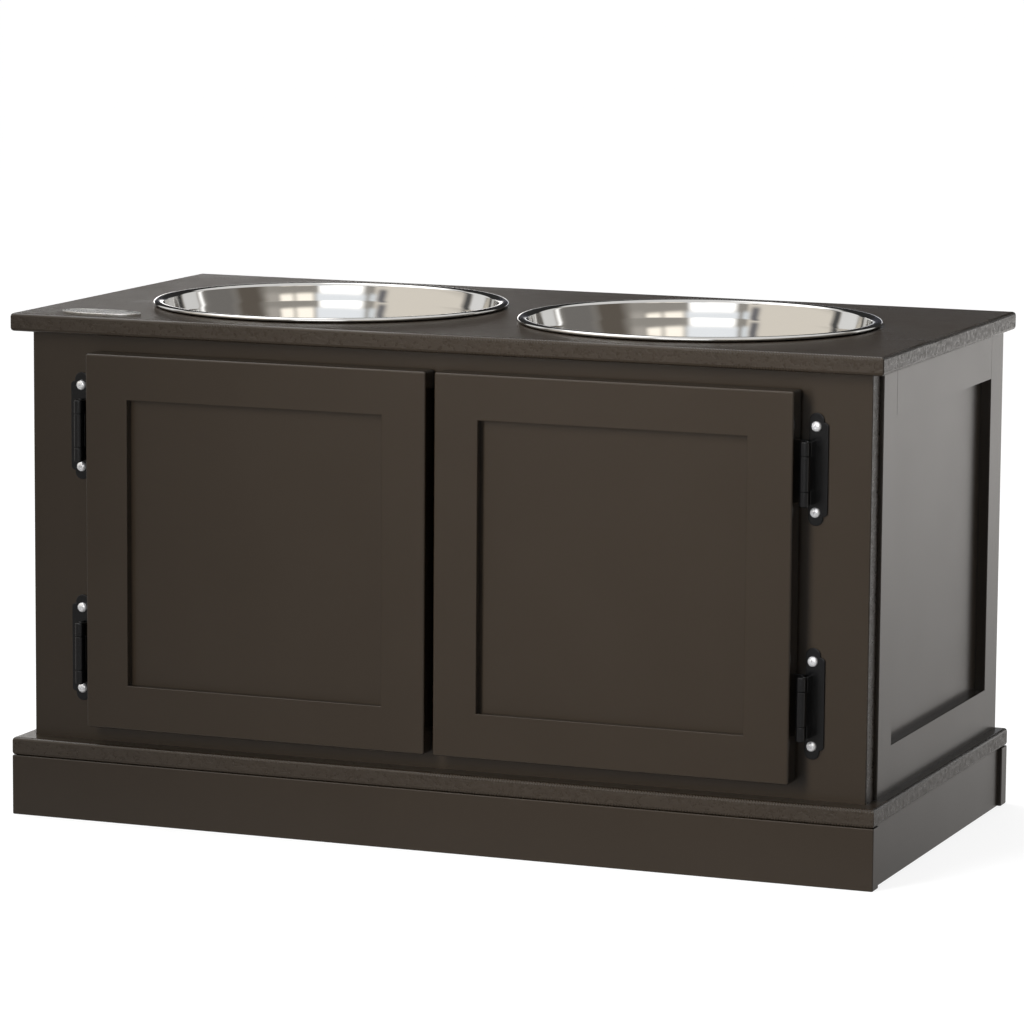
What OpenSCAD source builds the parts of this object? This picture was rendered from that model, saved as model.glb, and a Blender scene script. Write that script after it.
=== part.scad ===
// Elevated pet feeder: a low cabinet with two hinged doors and two lift-out bowls.
// Millimetres. +Z is up, +X to the right seen from the front, the front faces -Y.
// The origin is on the floor, in the middle of the whole length and depth.

/* [Top board] */
// Width of the top board
top_w = 600; // [560:5:700]
// Depth of the top board, front to back
top_d = 295; // [290:5:340]
// Thickness of the top board
top_th = 12; // [10:0.5:20]
// How far the top board stands past the side frames
top_ledge_side = 8; // [4:0.5:14]
// How far the top board stands past the face frame
top_ledge_front = 12.5; // [6:0.5:16]
// How far the top board stands past the back of the body
top_ledge_back = 1; // [0:0.5:12]
// Radius of the rounded edges of the top and base boards
edge_round = 3; // [1:0.25:4]

/* [Base] */
// Thickness of the base board, which is the cabinet floor
base_th = 12; // [10:0.5:20]
// How far the base board stands past the side frames
base_ledge_side = 7.5; // [4:0.5:14]
// How far the base board stands past the face frame
base_ledge_front = 15; // [6:0.5:16]
// How far the base board stands past the back of the body
base_ledge_back = 3.5; // [0:0.5:12]
// Height of the skirt boards under the base board
skirt_h = 40; // [30:1:70]
// Thickness of the skirt boards
skirt_th = 12; // [10:0.5:18]
// How far the end skirts stand back from the ends of the long skirts
skirt_step = 2.5; // [0:0.25:5]
// Side of the square blocks inside the skirt corners
corner_block = 28; // [20:1:40]

/* [Body] */
// Height between the base board and the top board
body_h = 271; // [240:1:340]
// Thickness of the boards in the face frame and the side frames
board_th = 15; // [14:0.5:20]
// How far each side frame stands past the edge of the face frame
face_step = 2.5; // [0:0.25:5]
// Width of the upright boards in a side frame
side_stile_w = 28; // [24:1:50]
// Width of the level boards in a side frame
side_rail_w = 30.5; // [28:0.5:50]
// Thickness of the back board
back_th = 5; // [3:0.5:8]
// Width of the step in the rear stiles that takes the back board
rabbet_w = 8; // [6:0.5:10]

/* [Doors] */
// Thickness of the door boards
door_th = 15; // [13:0.5:18]
// Gap between the two closed doors
door_gap = 6; // [2:0.5:10]
// Face frame left showing beside each door
door_margin_side = 46; // [36:0.5:60]
// Face frame left showing above and below each door
door_margin_end = 11.5; // [6:0.5:20]
// How far each door overlaps the edge of the opening
door_overlap = 12.7; // [9:0.1:16]
// Gap between the back of a door and the face frame
door_stand_off = 1.5; // [1.4:0.1:3]
// Width of the upright boards in a door
door_stile_w = 30; // [26:0.5:50]
// Width of the level boards in a door
door_rail_w = 29.5; // [26:0.5:50]
// Radius of the eased outer edges of a door
door_round = 1.5; // [0.5:0.25:3]

/* [Panels] */
// Thickness of the panels in the doors and the side frames
panel_th = 3; // [3:0.5:4]
// How far a panel is set back from the face of its frame
panel_inset = 6.5; // [5:0.5:9]
// How far a panel and a rail's tongue reach into their groove
groove_depth = 6; // [4:0.5:8]
// Gap left between a glued or loose piece and the slot or hole it sits in
fit_gap = 0.1; // [0.05:0.01:0.3]

/* [Bowls] */
// Outer radius of a bowl's rolled rim
bowl_rim_r = 119; // [100:0.5:119]
// Width of a bowl's rim, from its outer edge to the wall
bowl_rim_w = 8; // [6.5:0.25:12]
// How far a bowl's wall leans in, down to the curve at its bottom
bowl_taper = 9; // [2:0.5:20]
// Depth of a bowl below the top board's surface
bowl_h = 65; // [40:1:80]
// Radius of the curve between a bowl's bottom and its wall
bowl_curve = 22; // [14:1:26]
// Thickness of a bowl's metal
bowl_th = 1; // [0.8:0.1:2]
// Radius of the rolled bead at the edge of a bowl's rim
bead_r = 1.6; // [1.2:0.1:2]
// Radial gap between a bowl's wall and the hole it hangs in
bowl_play = 2.5; // [1:0.25:4]
// Gap left under the rim's bead
rim_gap = 0.2; // [0.1:0.05:0.5]
// Gap between the two bowl rims
bowl_gap = 23.5; // [10:0.5:40]
// Gap between a bowl's rim and the front edge of the top board
bowl_margin = 20.5; // [20:0.5:40]

/* [Hinges] */
// Distance from a door's end to the middle of its hinge
hinge_end = 50; // [40:1:80]
// Thickness of the hinge metal
leaf_th = 1.2; // [0.8:0.1:1.3]
// Outer radius of the hinge barrel
knuckle_r = 3; // [2.5:0.1:3.5]
// Radius of the hinge pin
pin_r = 1.3; // [0.8:0.05:1.5]
// Radial running gap between the pin and the middle knuckle
pin_play = 0.05; // [0.02:0.01:0.1]
// Length of the hinge barrel
barrel_len = 40; // [30:1:50]
// Length of the middle knuckle, which belongs to the frame leaf
knuckle_len = 22; // [14:0.5:28]
// Gap between neighbouring knuckles
knuckle_gap = 0.3; // [0.2:0.05:0.6]
// Distance from the door's outer edge to the pin axis
hinge_out = 6.7; // [5.5:0.1:9]
// Distance from the face frame to the pin axis
hinge_reach = 13; // [10:0.5:13.5]
// How far the barrel's middle lies below the middle of the leaf
barrel_drop = 1.7; // [0:0.1:3]
// Length of the frame leaf over its two round ears
leaf_len = 71; // [64:0.5:80]
// Half width of an ear, around its screw
ear_r = 4.8; // [4:0.1:4.9]
// Distance from the pin axis out to the line of the ear screws
ear_out = 3.5; // [3.4:0.1:5]
// Length of the straight part of the leaf between the ears
wing_len = 59; // [56:0.5:62]
// Distance from the pin axis out to the edge of the leaf's straight part
wing_out = 11.2; // [10.5:0.1:14]
// Cut across the corners of the leaf's straight part
wing_cut = 1.6; // [0.8:0.1:3]
// Distance between the two screws of a frame leaf
ear_pitch = 54; // [50:0.5:56]
// Distance between the two screws of a door leaf
door_screw_pitch = 24; // [14:0.5:28]
// Distance from the door's outer edge to the door leaf's screws
door_screw_in = 17.5; // [17:0.5:20]
// Distance from the door leaf's screws to the end of the leaf
door_leaf_end = 6; // [4:0.5:8]

/* [Screws and dowels] */
// Radius of a hinge screw's shank
hinge_shank_r = 1.6; // [1.2:0.1:2]
// Radius of a hinge screw's head
hinge_head_r = 3.3; // [2.6:0.1:3.8]
// Height of a hinge screw's head
hinge_head_h = 2.3; // [1.4:0.1:2.6]
// Length of a hinge screw under its head
hinge_screw_len = 12; // [8:0.5:13]
// Radius of the long screws that hold the base board and the blocks
wood_shank_r = 2; // [1.5:0.1:2.5]
// Radius of a long screw's head
wood_head_r = 3.5; // [3:0.1:4]
// Distance from a side frame's inner face to the screws that come up into it
base_screw_in = 4.4; // [4:0.1:5]
// Height of a long screw's head
wood_head_h = 2.4; // [1.5:0.1:3]
// Depth that a long screw bites into the second piece
wood_bite = 20; // [10:0.5:22]
// Depth that a screw bites into the thin skirt boards
skirt_bite = 8; // [4:0.5:9]
// Length of a back board screw under its head
back_screw_len = 16; // [12:0.5:25]
// Radius of the dowels
dowel_r = 3; // [2.5:0.1:3.5]
// Length of a dowel
dowel_len = 30; // [20:1:34]
// Depth of a dowel in the face of a board
dowel_seat = 8; // [5:0.5:9]
// Gap between a dowel's ends and the bottoms of its holes
dowel_end_gap = 0.5; // [0.2:0.1:1.5]
// Radius of a cam lock
cam_r = 7.5; // [6:0.1:7.6]
// Thickness of a cam lock
cam_th = 12; // [10:0.5:12.5]
// Distance from the top of a side rail to the middle of its cam lock
cam_drop = 15; // [13:0.5:16]
// Radius of a cam bolt's shank
cam_bolt_r = 2.5; // [2:0.1:3]
// Depth of a cam bolt's thread in the top board
cam_bolt_seat = 8; // [6:0.5:8.5]

/* [Blank plate] */
// Length of the plain oval plate on the top board
plate_len = 56; // [40:1:64]
// Width of the plain oval plate
plate_w = 26; // [18:1:30]
// Thickness of the plain oval plate
plate_th = 0.8; // [0.4:0.1:1.5]
// Distance from the top board's left edge to the plate's middle
plate_from_side = 53; // [35:1:70]
// Distance from the top board's front edge to the plate's middle
plate_from_front = 28; // [19:1:34]
// Corners of its outline
plate_points = 64; // [32:8:96]

/* [Hidden] */

paint = [0.235, 0.205, 0.18];
black_metal = [0.07, 0.07, 0.08];
zinc = [0.80, 0.80, 0.82];
steel = [0.78, 0.78, 0.77];
raw_wood = [0.76, 0.62, 0.44];

// Cuts run this far past the faces they open
past = 1;

// Levels, from the floor up
base_z = skirt_h;
body_z = base_z + base_th;
top_z = body_z + body_h;
surface_z = top_z + top_th;

// Widths, about the middle plane
body_w = top_w - 2 * top_ledge_side;
face_w = body_w - 2 * face_step;
base_w = body_w + 2 * base_ledge_side;
side_in = body_w / 2 - board_th;

// Depths: the face frame's front plane is placed so that the whole depth is centred
door_front = door_stand_off + door_th;
body_d = top_d - top_ledge_front - top_ledge_back;
front_reach = max(door_front, base_ledge_front, top_ledge_front, hinge_reach + knuckle_r);
back_reach = max(base_ledge_back, top_ledge_back);
face_y = (front_reach - back_reach - body_d) / 2;
body_back_y = face_y + body_d;
top_y = face_y - top_ledge_front;
base_y = face_y - base_ledge_front;
base_d = base_ledge_front + body_d + base_ledge_back;
side_y = face_y + board_th;
side_d = body_d - board_th;

// Doors and the opening behind them
door_w = face_w / 2 - door_margin_side - door_gap / 2;
door_h = body_h - 2 * door_margin_end;
door_y = face_y - door_front;
door_z = body_z + door_margin_end;
door_edge = door_gap / 2 + door_w;
opening_half = door_edge - door_overlap;
opening_low = door_z + door_overlap;
opening_high = door_z + door_h - door_overlap;
face_stile_w = face_w / 2 - opening_half;
face_rail_top_w = top_z - opening_high;
face_rail_bottom_w = opening_low - body_z;

// Bowls
bowl_x = bowl_rim_r + bowl_gap / 2;
bowl_wall_r = bowl_rim_r - bowl_rim_w;
bowl_bottom_r = bowl_wall_r - bowl_taper - bowl_curve;
bowl_y = top_y + bowl_margin + bowl_rim_r;
bowl_hole_r = bowl_wall_r + bowl_play;
rim_turn = bead_r + bowl_th;

// Hinges
hinge_x = door_edge + hinge_out;
hinge_y = face_y - hinge_reach;
hinge_zs = [door_z + hinge_end, door_z + door_h - hinge_end];
end_knuckle = (barrel_len - knuckle_len) / 2 - knuckle_gap;
web_in = knuckle_r - leaf_th;
barrel_clear = knuckle_r + knuckle_gap + fit_gap;
leaf_back_in = door_screw_in + door_leaf_end;
ear_end = leaf_len / 2 - ear_r;

// Screws, dowels and cams
wood_screw_len = base_th - wood_head_h + wood_bite;
block_screw_len = corner_block + skirt_bite - wood_head_h;
side_mid_x = body_w / 2 - board_th / 2;
face_mid_y = face_y + board_th / 2;
thirds = [0.25, 0.5, 0.75];
quarters = [0.25, 0.75];
cam_bolt_len = cam_bolt_seat + cam_drop - cam_r / 2;

// A quarter-round edge's waste along +X, its corner at the origin
module edge_waste(length, r) {
    difference() {
        translate([-past, -past, -past]) cube([length + 2 * past, r + past, r + past]);
        translate([-2 * past, r, r]) rotate([0, 90, 0])
            cylinder(h = length + 4 * past, r = r, $fn = 48);
    }
}

// A board with all its level edges rounded, its low corner at the origin
module rounded_board(size, r) {
    difference() {
        cube(size);
        for (far = [0, 1], high = [0, 1]) {
            translate([0, far * size.y, high * size.z])
                mirror([0, far, 0]) mirror([0, 0, high]) edge_waste(size.x, r);
            translate([far * size.x, 0, high * size.z])
                mirror([far, 0, 0]) mirror([0, 0, high]) mirror([1, -1, 0]) edge_waste(size.y, r);
        }
    }
}

// Draws its children on the right, or mirrored on the left
module on_side(left) {
    if (left) mirror([1, 0, 0]) children();
    else children();
}

// A pan-head screw with a cross recess: the head's underside at the origin, the shank down -Z
module screw(shank_r, head_r, head_h, length) {
    slot_w = head_r / 3.5;
    difference() {
        union() {
            translate([0, 0, -length]) cylinder(h = length + head_h / 2, r = shank_r, $fn = 32);
            cylinder(h = head_h * 0.6, r = head_r, $fn = 32);
            translate([0, 0, head_h * 0.6])
                cylinder(h = head_h * 0.4, r1 = head_r, r2 = head_r * 0.72, $fn = 32);
        }
        for (turn = [0, 90])
            rotate([0, 0, turn]) translate([-head_r * 0.55, -slot_w / 2, head_h * 0.5])
                cube([head_r * 1.1, slot_w, head_h]);
    }
}

// The hole that a screw's shank cuts, open at the head's side
module screw_hole(shank_r, length) {
    translate([0, 0, -length]) cylinder(h = length + past, r = shank_r + fit_gap, $fn = 32);
}

// A dowel along +Z with its middle at the origin, or the hole for it
module dowel(low, high) {
    chamfer = dowel_r / 5;
    translate([0, 0, -low]) cylinder(h = chamfer, r1 = dowel_r - chamfer, r2 = dowel_r, $fn = 32);
    translate([0, 0, chamfer - low]) cylinder(h = low + high - 2 * chamfer, r = dowel_r, $fn = 32);
    translate([0, 0, high - chamfer])
        cylinder(h = chamfer, r1 = dowel_r, r2 = dowel_r - chamfer, $fn = 32);
}
module dowel_hole(low, high) {
    translate([0, 0, -low - dowel_end_gap])
        cylinder(h = low + high + 2 * dowel_end_gap, r = dowel_r + fit_gap, $fn = 32);
}

// Framed panel, seen from its face: width +X, height +Z, its face at Y = 0.
// The groove that the panel and the rails' tongues sit in runs along the stiles' inner edges.
groove_w = panel_th + 2 * fit_gap;
module frame_stile(w, h, th) {
    difference() {
        cube([w, th, h]);
        translate([w - groove_depth - fit_gap, panel_inset - fit_gap, -past])
            cube([groove_depth + fit_gap + past, groove_w, h + 2 * past]);
    }
}
// A rail lies between two stiles, its grooved edge up, with a tongue at each end
module frame_rail(frame_w, stile_w, w, th) {
    difference() {
        union() {
            translate([stile_w, 0, 0]) cube([frame_w - 2 * stile_w, th, w]);
            translate([stile_w - groove_depth, panel_inset, 0])
                cube([frame_w - 2 * (stile_w - groove_depth), panel_th, w]);
        }
        translate([0, panel_inset - fit_gap, w - groove_depth - fit_gap])
            cube([frame_w, groove_w, groove_depth + fit_gap + past]);
    }
}
module frame_panel(frame_w, frame_h, stile_w, rail_w) {
    inset = fit_gap - groove_depth;
    translate([stile_w + inset, panel_inset, rail_w + inset])
        cube([frame_w - 2 * (stile_w + inset), panel_th, frame_h - 2 * (rail_w + inset)]);
}

// --- Top, base and skirt ---

module bowl_places() {
    for (side = [-1, 1]) translate([side * bowl_x, bowl_y, surface_z]) children();
}
module top_dowel_places() {
    for (x = [-opening_half + dowel_len, 0, opening_half - dowel_len])
        translate([x, face_mid_y, top_z]) children();
}
module cam_places() {
    for (left = [false, true], t = quarters) on_side(left)
        translate([side_mid_x, side_y + t * side_d, top_z - cam_drop]) children();
}

module top_board() {
    color(paint) difference() {
        translate([-top_w / 2, top_y, top_z]) rounded_board([top_w, top_d, top_th], edge_round);
        bowl_places() translate([0, 0, -top_th - past])
            cylinder(h = top_th + 2 * past, r = bowl_hole_r, $fn = 96);
        top_dowel_places() dowel_hole(dowel_len - dowel_seat, dowel_seat);
        cam_places() translate([0, 0, cam_drop - past])
            cylinder(h = cam_bolt_seat + past + fit_gap, r = cam_bolt_r + fit_gap, $fn = 32);
    }
}

// The long screws that come up through the base board into the rails
module base_screw_places() {
    for (left = [false, true], t = thirds) on_side(left)
        translate([side_in + base_screw_in, side_y + t * side_d, base_z]) children();
    for (x = [-opening_half / 2, 0, opening_half / 2])
        translate([x, face_mid_y, base_z]) children();
}
module base_screw_cut() {
    translate([0, 0, -past])
        cylinder(h = wood_head_h + past + fit_gap, r = wood_head_r + fit_gap, $fn = 32);
    translate([0, 0, wood_head_h])
        cylinder(h = wood_screw_len + fit_gap, r = wood_shank_r + fit_gap, $fn = 32);
}

module base_board() {
    color(paint) difference() {
        translate([-base_w / 2, base_y, base_z]) rounded_board([base_w, base_d, base_th], edge_round);
        base_screw_places() base_screw_cut();
    }
}

module base_screws() {
    color(zinc) base_screw_places() translate([0, 0, wood_head_h]) rotate([180, 0, 0])
        screw(wood_shank_r, wood_head_r, wood_head_h, wood_screw_len);
}

// Two screws in each corner block: one into the long skirt, one into the end skirt.
// Drawn for the block at the right front, and mirrored to the others.
module block_corners() {
    base_mid_y = base_y + base_d / 2;
    for (left = [0, 1], rear = [0, 1])
        translate([0, base_mid_y, 0]) mirror([0, rear, 0]) mirror([left, 0, 0])
            translate([base_w / 2 - skirt_step - skirt_th, skirt_th - base_d / 2, 0]) children();
}
module block_screw_places() {
    translate([-corner_block / 2, corner_block, skirt_h * 0.35]) rotate([-90, 0, 0]) children();
    translate([-corner_block, corner_block / 2, skirt_h * 0.65]) rotate([0, -90, 0]) children();
}
module block_screw_cut() {
    translate([0, 0, -wood_head_h]) cylinder(h = wood_head_h + past, r = wood_head_r + fit_gap, $fn = 32);
    translate([0, 0, -wood_head_h]) screw_hole(wood_shank_r, block_screw_len + fit_gap);
}
module block_screws() {
    color(zinc) block_corners() block_screw_places() translate([0, 0, -wood_head_h])
        screw(wood_shank_r, wood_head_r, wood_head_h, block_screw_len);
}
module skirt_blocks() {
    block_h = skirt_h - past;
    color(raw_wood) block_corners() difference() {
        translate([-corner_block, 0, skirt_h - block_h]) cube([corner_block, corner_block, block_h]);
        block_screw_places() block_screw_cut();
    }
}

module long_skirt(y) {
    color(paint) difference() {
        translate([-base_w / 2, y, 0]) cube([base_w, skirt_th, skirt_h]);
        block_corners() block_screw_places() block_screw_cut();
    }
}
module end_skirt(left) {
    color(paint) difference() {
        on_side(left) translate([base_w / 2 - skirt_step - skirt_th, base_y + skirt_th, 0])
            cube([skirt_th, base_d - 2 * skirt_th, skirt_h]);
        block_corners() block_screw_places() block_screw_cut();
    }
}
module skirt_front() long_skirt(base_y);
module skirt_back() long_skirt(base_y + base_d - skirt_th);
module skirt_left() end_skirt(true);
module skirt_right() end_skirt(false);

// --- Face frame ---

module face_dowel_places() {
    for (t = thirds) translate([side_mid_x, side_y, body_z + t * body_h])
        rotate([-90, 0, 0]) children();
}
module rail_dowel_places() {
    for (rail = [[body_z, face_rail_bottom_w], [opening_high, face_rail_top_w]], t = quarters)
        translate([opening_half, face_mid_y, rail[0] + t * rail[1]]) rotate([0, 90, 0]) children();
}
module ear_screw_places() {
    for (z = hinge_zs, up = [-1, 1])
        translate([hinge_x + ear_out, face_y - leaf_th, z + up * ear_pitch / 2])
            rotate([90, 0, 0]) children();
}

module face_stile(left) {
    color(paint) on_side(left) difference() {
        translate([opening_half, face_y, body_z]) cube([face_stile_w, board_th, body_h]);
        face_dowel_places() dowel_hole(dowel_seat, dowel_len - dowel_seat);
        rail_dowel_places() dowel_hole(dowel_len / 2, dowel_len / 2);
        ear_screw_places() screw_hole(hinge_shank_r, hinge_screw_len + fit_gap);
    }
}
module face_stile_left() face_stile(true);
module face_stile_right() face_stile(false);

module face_rail(z, w) {
    color(paint) difference() {
        translate([-opening_half, face_y, z]) cube([2 * opening_half, board_th, w]);
        for (left = [false, true]) on_side(left) rail_dowel_places() dowel_hole(dowel_len / 2, dowel_len / 2);
        top_dowel_places() dowel_hole(dowel_len - dowel_seat, dowel_seat);
        base_screw_places() base_screw_cut();
    }
}
module face_rail_top() face_rail(opening_high, face_rail_top_w);
module face_rail_bottom() face_rail(body_z, face_rail_bottom_w);

module face_dowels() {
    color(raw_wood) for (left = [false, true]) on_side(left) face_dowel_places()
        dowel(dowel_seat, dowel_len - dowel_seat);
}
module rail_dowels() {
    color(raw_wood) for (left = [false, true]) on_side(left) rail_dowel_places()
        dowel(dowel_len / 2, dowel_len / 2);
}
module top_dowels() {
    color(raw_wood) top_dowel_places() dowel(dowel_len - dowel_seat, dowel_seat);
}

// --- Side frames and back ---

// Stands a framed panel up as the right side, its face to +X
module side_place() {
    translate([body_w / 2, side_y, body_z]) rotate([0, 0, 90]) children();
}
module back_screw_places() {
    for (t = thirds) translate([side_in + rabbet_w / 2, body_back_y, body_z + t * body_h])
        rotate([-90, 0, 0]) children();
}
module side_stile_front(left) {
    color(paint) on_side(left) difference() {
        side_place() frame_stile(side_stile_w, body_h, board_th);
        face_dowel_places() dowel_hole(dowel_seat, dowel_len - dowel_seat);
    }
}
module side_stile_rear(left) {
    color(paint) on_side(left) difference() {
        side_place() translate([side_d, 0, 0]) mirror([1, 0, 0])
            frame_stile(side_stile_w, body_h, board_th);
        translate([side_in - past, body_back_y - back_th, body_z - past])
            cube([rabbet_w + past, back_th + past, body_h + 2 * past]);
        back_screw_places() screw_hole(hinge_shank_r, back_screw_len + fit_gap);
    }
}
module side_rail_top(left) {
    color(paint) difference() {
        on_side(left) side_place() translate([0, 0, body_h]) mirror([0, 0, 1])
            frame_rail(side_d, side_stile_w, side_rail_w, board_th);
        cam_places() cam_cut();
    }
}
module side_rail_bottom(left) {
    color(paint) difference() {
        on_side(left) side_place() frame_rail(side_d, side_stile_w, side_rail_w, board_th);
        base_screw_places() base_screw_cut();
    }
}
module side_panel(left) {
    color(paint) on_side(left) side_place() frame_panel(side_d, body_h, side_stile_w, side_rail_w);
}
module side_left_stile_front() side_stile_front(true);
module side_left_stile_rear() side_stile_rear(true);
module side_left_rail_top() side_rail_top(true);
module side_left_rail_bottom() side_rail_bottom(true);
module side_left_panel() side_panel(true);
module side_right_stile_front() side_stile_front(false);
module side_right_stile_rear() side_stile_rear(false);
module side_right_rail_top() side_rail_top(false);
module side_right_rail_bottom() side_rail_bottom(false);
module side_right_panel() side_panel(false);

module back_board() {
    half = side_in + rabbet_w - fit_gap;
    color(paint) difference() {
        translate([-half, body_back_y - back_th + fit_gap, body_z + fit_gap])
            cube([2 * half, back_th - fit_gap, body_h - 2 * fit_gap]);
        for (left = [false, true]) on_side(left) back_screw_places()
            screw_hole(hinge_shank_r, back_screw_len);
    }
}
module back_screws() {
    color(zinc) for (left = [false, true]) on_side(left) back_screw_places()
        screw(hinge_shank_r, hinge_head_r, hinge_head_h, back_screw_len);
}

// A cam lock turns in a blind bore in the rail's inner face and pulls on a bolt from the top board
module cam_cut() {
    translate([-board_th / 2 - past, 0, 0]) rotate([0, 90, 0])
        cylinder(h = past + cam_th + fit_gap, r = cam_r + fit_gap, $fn = 48);
    cylinder(h = cam_drop + past, r = cam_bolt_r + fit_gap, $fn = 32);
}
module cam_locks() {
    color(zinc) cam_places() difference() {
        translate([-board_th / 2, 0, 0]) rotate([0, 90, 0]) cylinder(h = cam_th, r = cam_r, $fn = 48);
        translate([-board_th / 2 - past, -cam_bolt_r / 4, -cam_r / 2])
            cube([cam_th / 4 + past, cam_bolt_r / 2, cam_r]);
        translate([-board_th / 2 - past, -cam_r / 2, -cam_bolt_r / 4])
            cube([cam_th / 4 + past, cam_r, cam_bolt_r / 2]);
        cylinder(h = cam_r + past, r = cam_bolt_r + fit_gap, $fn = 32);
    }
}
module cam_bolts() {
    color(zinc) cam_places() translate([0, 0, cam_r / 2])
        cylinder(h = cam_bolt_len, r = cam_bolt_r, $fn = 32);
}

// --- Doors ---

module door_place() {
    translate([door_gap / 2, door_y, door_z]) children();
}
module door_screw_places() {
    for (z = hinge_zs, up = [-1, 1])
        translate([door_edge - door_screw_in, face_y - door_stand_off + leaf_th,
                   z - barrel_drop + up * door_screw_pitch / 2])
            rotate([-90, 0, 0]) children();
}
// The waste of the eased edge all round a door's face
module door_edge_waste() {
    for (high = [0, 1]) translate([0, 0, high * door_h]) mirror([0, 0, high]) edge_waste(door_w, door_round);
    for (far = [0, 1]) translate([far * door_w, 0, 0]) mirror([far, 0, 0])
        mirror([1, 0, -1]) edge_waste(door_h, door_round);
}
module door_stile(left, outer) {
    color(paint) on_side(left) difference() {
        door_place() difference() {
            translate([outer ? door_w : 0, 0, 0]) mirror([outer ? 1 : 0, 0, 0])
                frame_stile(door_stile_w, door_h, door_th);
            door_edge_waste();
        }
        door_screw_places() screw_hole(hinge_shank_r, hinge_screw_len + fit_gap);
    }
}
module door_rail(left, top) {
    color(paint) on_side(left) door_place() difference() {
        translate([0, 0, top ? door_h : 0]) mirror([0, 0, top ? 1 : 0])
            frame_rail(door_w, door_stile_w, door_rail_w, door_th);
        door_edge_waste();
    }
}
module door_panel(left) {
    color(paint) on_side(left) door_place() frame_panel(door_w, door_h, door_stile_w, door_rail_w);
}
module door_left_stile_outer() door_stile(true, true);
module door_left_stile_inner() door_stile(true, false);
module door_left_rail_top() door_rail(true, true);
module door_left_rail_bottom() door_rail(true, false);
module door_left_panel() door_panel(true);
module door_right_stile_outer() door_stile(false, true);
module door_right_stile_inner() door_stile(false, false);
module door_right_rail_top() door_rail(false, true);
module door_right_rail_bottom() door_rail(false, false);
module door_right_panel() door_panel(false);

// --- Hinges: the pin axis at the origin, X outwards, +Y to the face frame ---

module hinge_place(left, z) {
    on_side(left) translate([hinge_x, hinge_y, z]) children();
}
module frame_leaf_ears() {
    translate([ear_out, 0, 0]) for (up = [-1, 1]) {
        translate([0, up * ear_end]) circle(r = ear_r, $fn = 48);
        translate([-ear_r, min(0, up * ear_end)]) square([2 * ear_r, ear_end]);
    }
    polygon([
        [ear_out, -wing_len / 2], [wing_out - wing_cut, -wing_len / 2],
        [wing_out, wing_cut - wing_len / 2], [wing_out, wing_len / 2 - wing_cut],
        [wing_out - wing_cut, wing_len / 2], [ear_out, wing_len / 2]]);
}
module frame_leaf(left, z) {
    color(black_metal) difference() {
        hinge_place(left, z) {
            // Plate against the face frame
            translate([0, hinge_reach, 0]) rotate([90, 0, 0])
                linear_extrude(leaf_th) frame_leaf_ears();
            translate([0, 0, -barrel_drop]) difference() {
                // Web from the plate forward to the barrel, rolled into the middle knuckle
                union() {
                    translate([web_in, barrel_clear, -barrel_len / 2])
                        cube([leaf_th, hinge_reach - barrel_clear, barrel_len]);
                    translate([web_in, 0, -knuckle_len / 2])
                        cube([leaf_th, hinge_reach, knuckle_len]);
                    translate([0, 0, -knuckle_len / 2])
                        cylinder(h = knuckle_len, r = knuckle_r, $fn = 48);
                }
                translate([0, 0, -barrel_len / 2])
                    cylinder(h = barrel_len, r = pin_r + pin_play, $fn = 48);
            }
        }
        on_side(left) ear_screw_places() screw_hole(hinge_shank_r, hinge_screw_len);
    }
}
module frame_leaf_left_upper() frame_leaf(true, hinge_zs[1]);
module frame_leaf_left_lower() frame_leaf(true, hinge_zs[0]);
module frame_leaf_right_upper() frame_leaf(false, hinge_zs[1]);
module frame_leaf_right_lower() frame_leaf(false, hinge_zs[0]);

module door_leaf(left, z) {
    back_y = hinge_reach - door_stand_off;
    half = barrel_len / 2;
    color(black_metal) difference() {
        hinge_place(left, z - barrel_drop) difference() {
            union() {
                // Plate behind the door
                translate([-hinge_out - leaf_back_in, back_y, -half])
                    cube([hinge_out + leaf_back_in - web_in, leaf_th, barrel_len]);
                // Strip from that plate forward to the barrel
                translate([-knuckle_r, 0, -half]) cube([leaf_th, back_y + leaf_th, barrel_len]);
                for (low = [-half, half - end_knuckle])
                    translate([0, 0, low]) cylinder(h = end_knuckle, r = knuckle_r, $fn = 48);
            }
            // Room for the middle knuckle
            translate([-knuckle_r - past, -past, -knuckle_len / 2 - knuckle_gap])
                cube([leaf_th + 2 * past, barrel_clear + past, knuckle_len + 2 * knuckle_gap]);
            translate([0, 0, -half - past])
                cylinder(h = barrel_len + 2 * past, r = pin_r, $fn = 48);
        }
        on_side(left) door_screw_places() screw_hole(hinge_shank_r, hinge_screw_len);
    }
}
module door_leaf_left_upper() door_leaf(true, hinge_zs[1]);
module door_leaf_left_lower() door_leaf(true, hinge_zs[0]);
module door_leaf_right_upper() door_leaf(false, hinge_zs[1]);
module door_leaf_right_lower() door_leaf(false, hinge_zs[0]);

// Each pin is held in the door leaf and has a domed cap at both ends of the barrel
module hinge_pins(left) {
    color(black_metal) for (z = hinge_zs) hinge_place(left, z - barrel_drop) {
        translate([0, 0, -barrel_len / 2]) cylinder(h = barrel_len, r = pin_r, $fn = 48);
        for (down = [0, 1]) mirror([0, 0, down]) translate([0, 0, barrel_len / 2])
            intersection() {
                scale_dome(knuckle_r);
                cylinder(h = knuckle_r, r = knuckle_r, $fn = 48);
            }
    }
}
// The cap of a ball that is twice as wide as the barrel
module scale_dome(r) {
    ball = r * 1.6;
    translate([0, 0, -sqrt(ball * ball - r * r)]) sphere(r = ball, $fn = 48);
}
module hinge_pins_left() hinge_pins(true);
module hinge_pins_right() hinge_pins(false);

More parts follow.
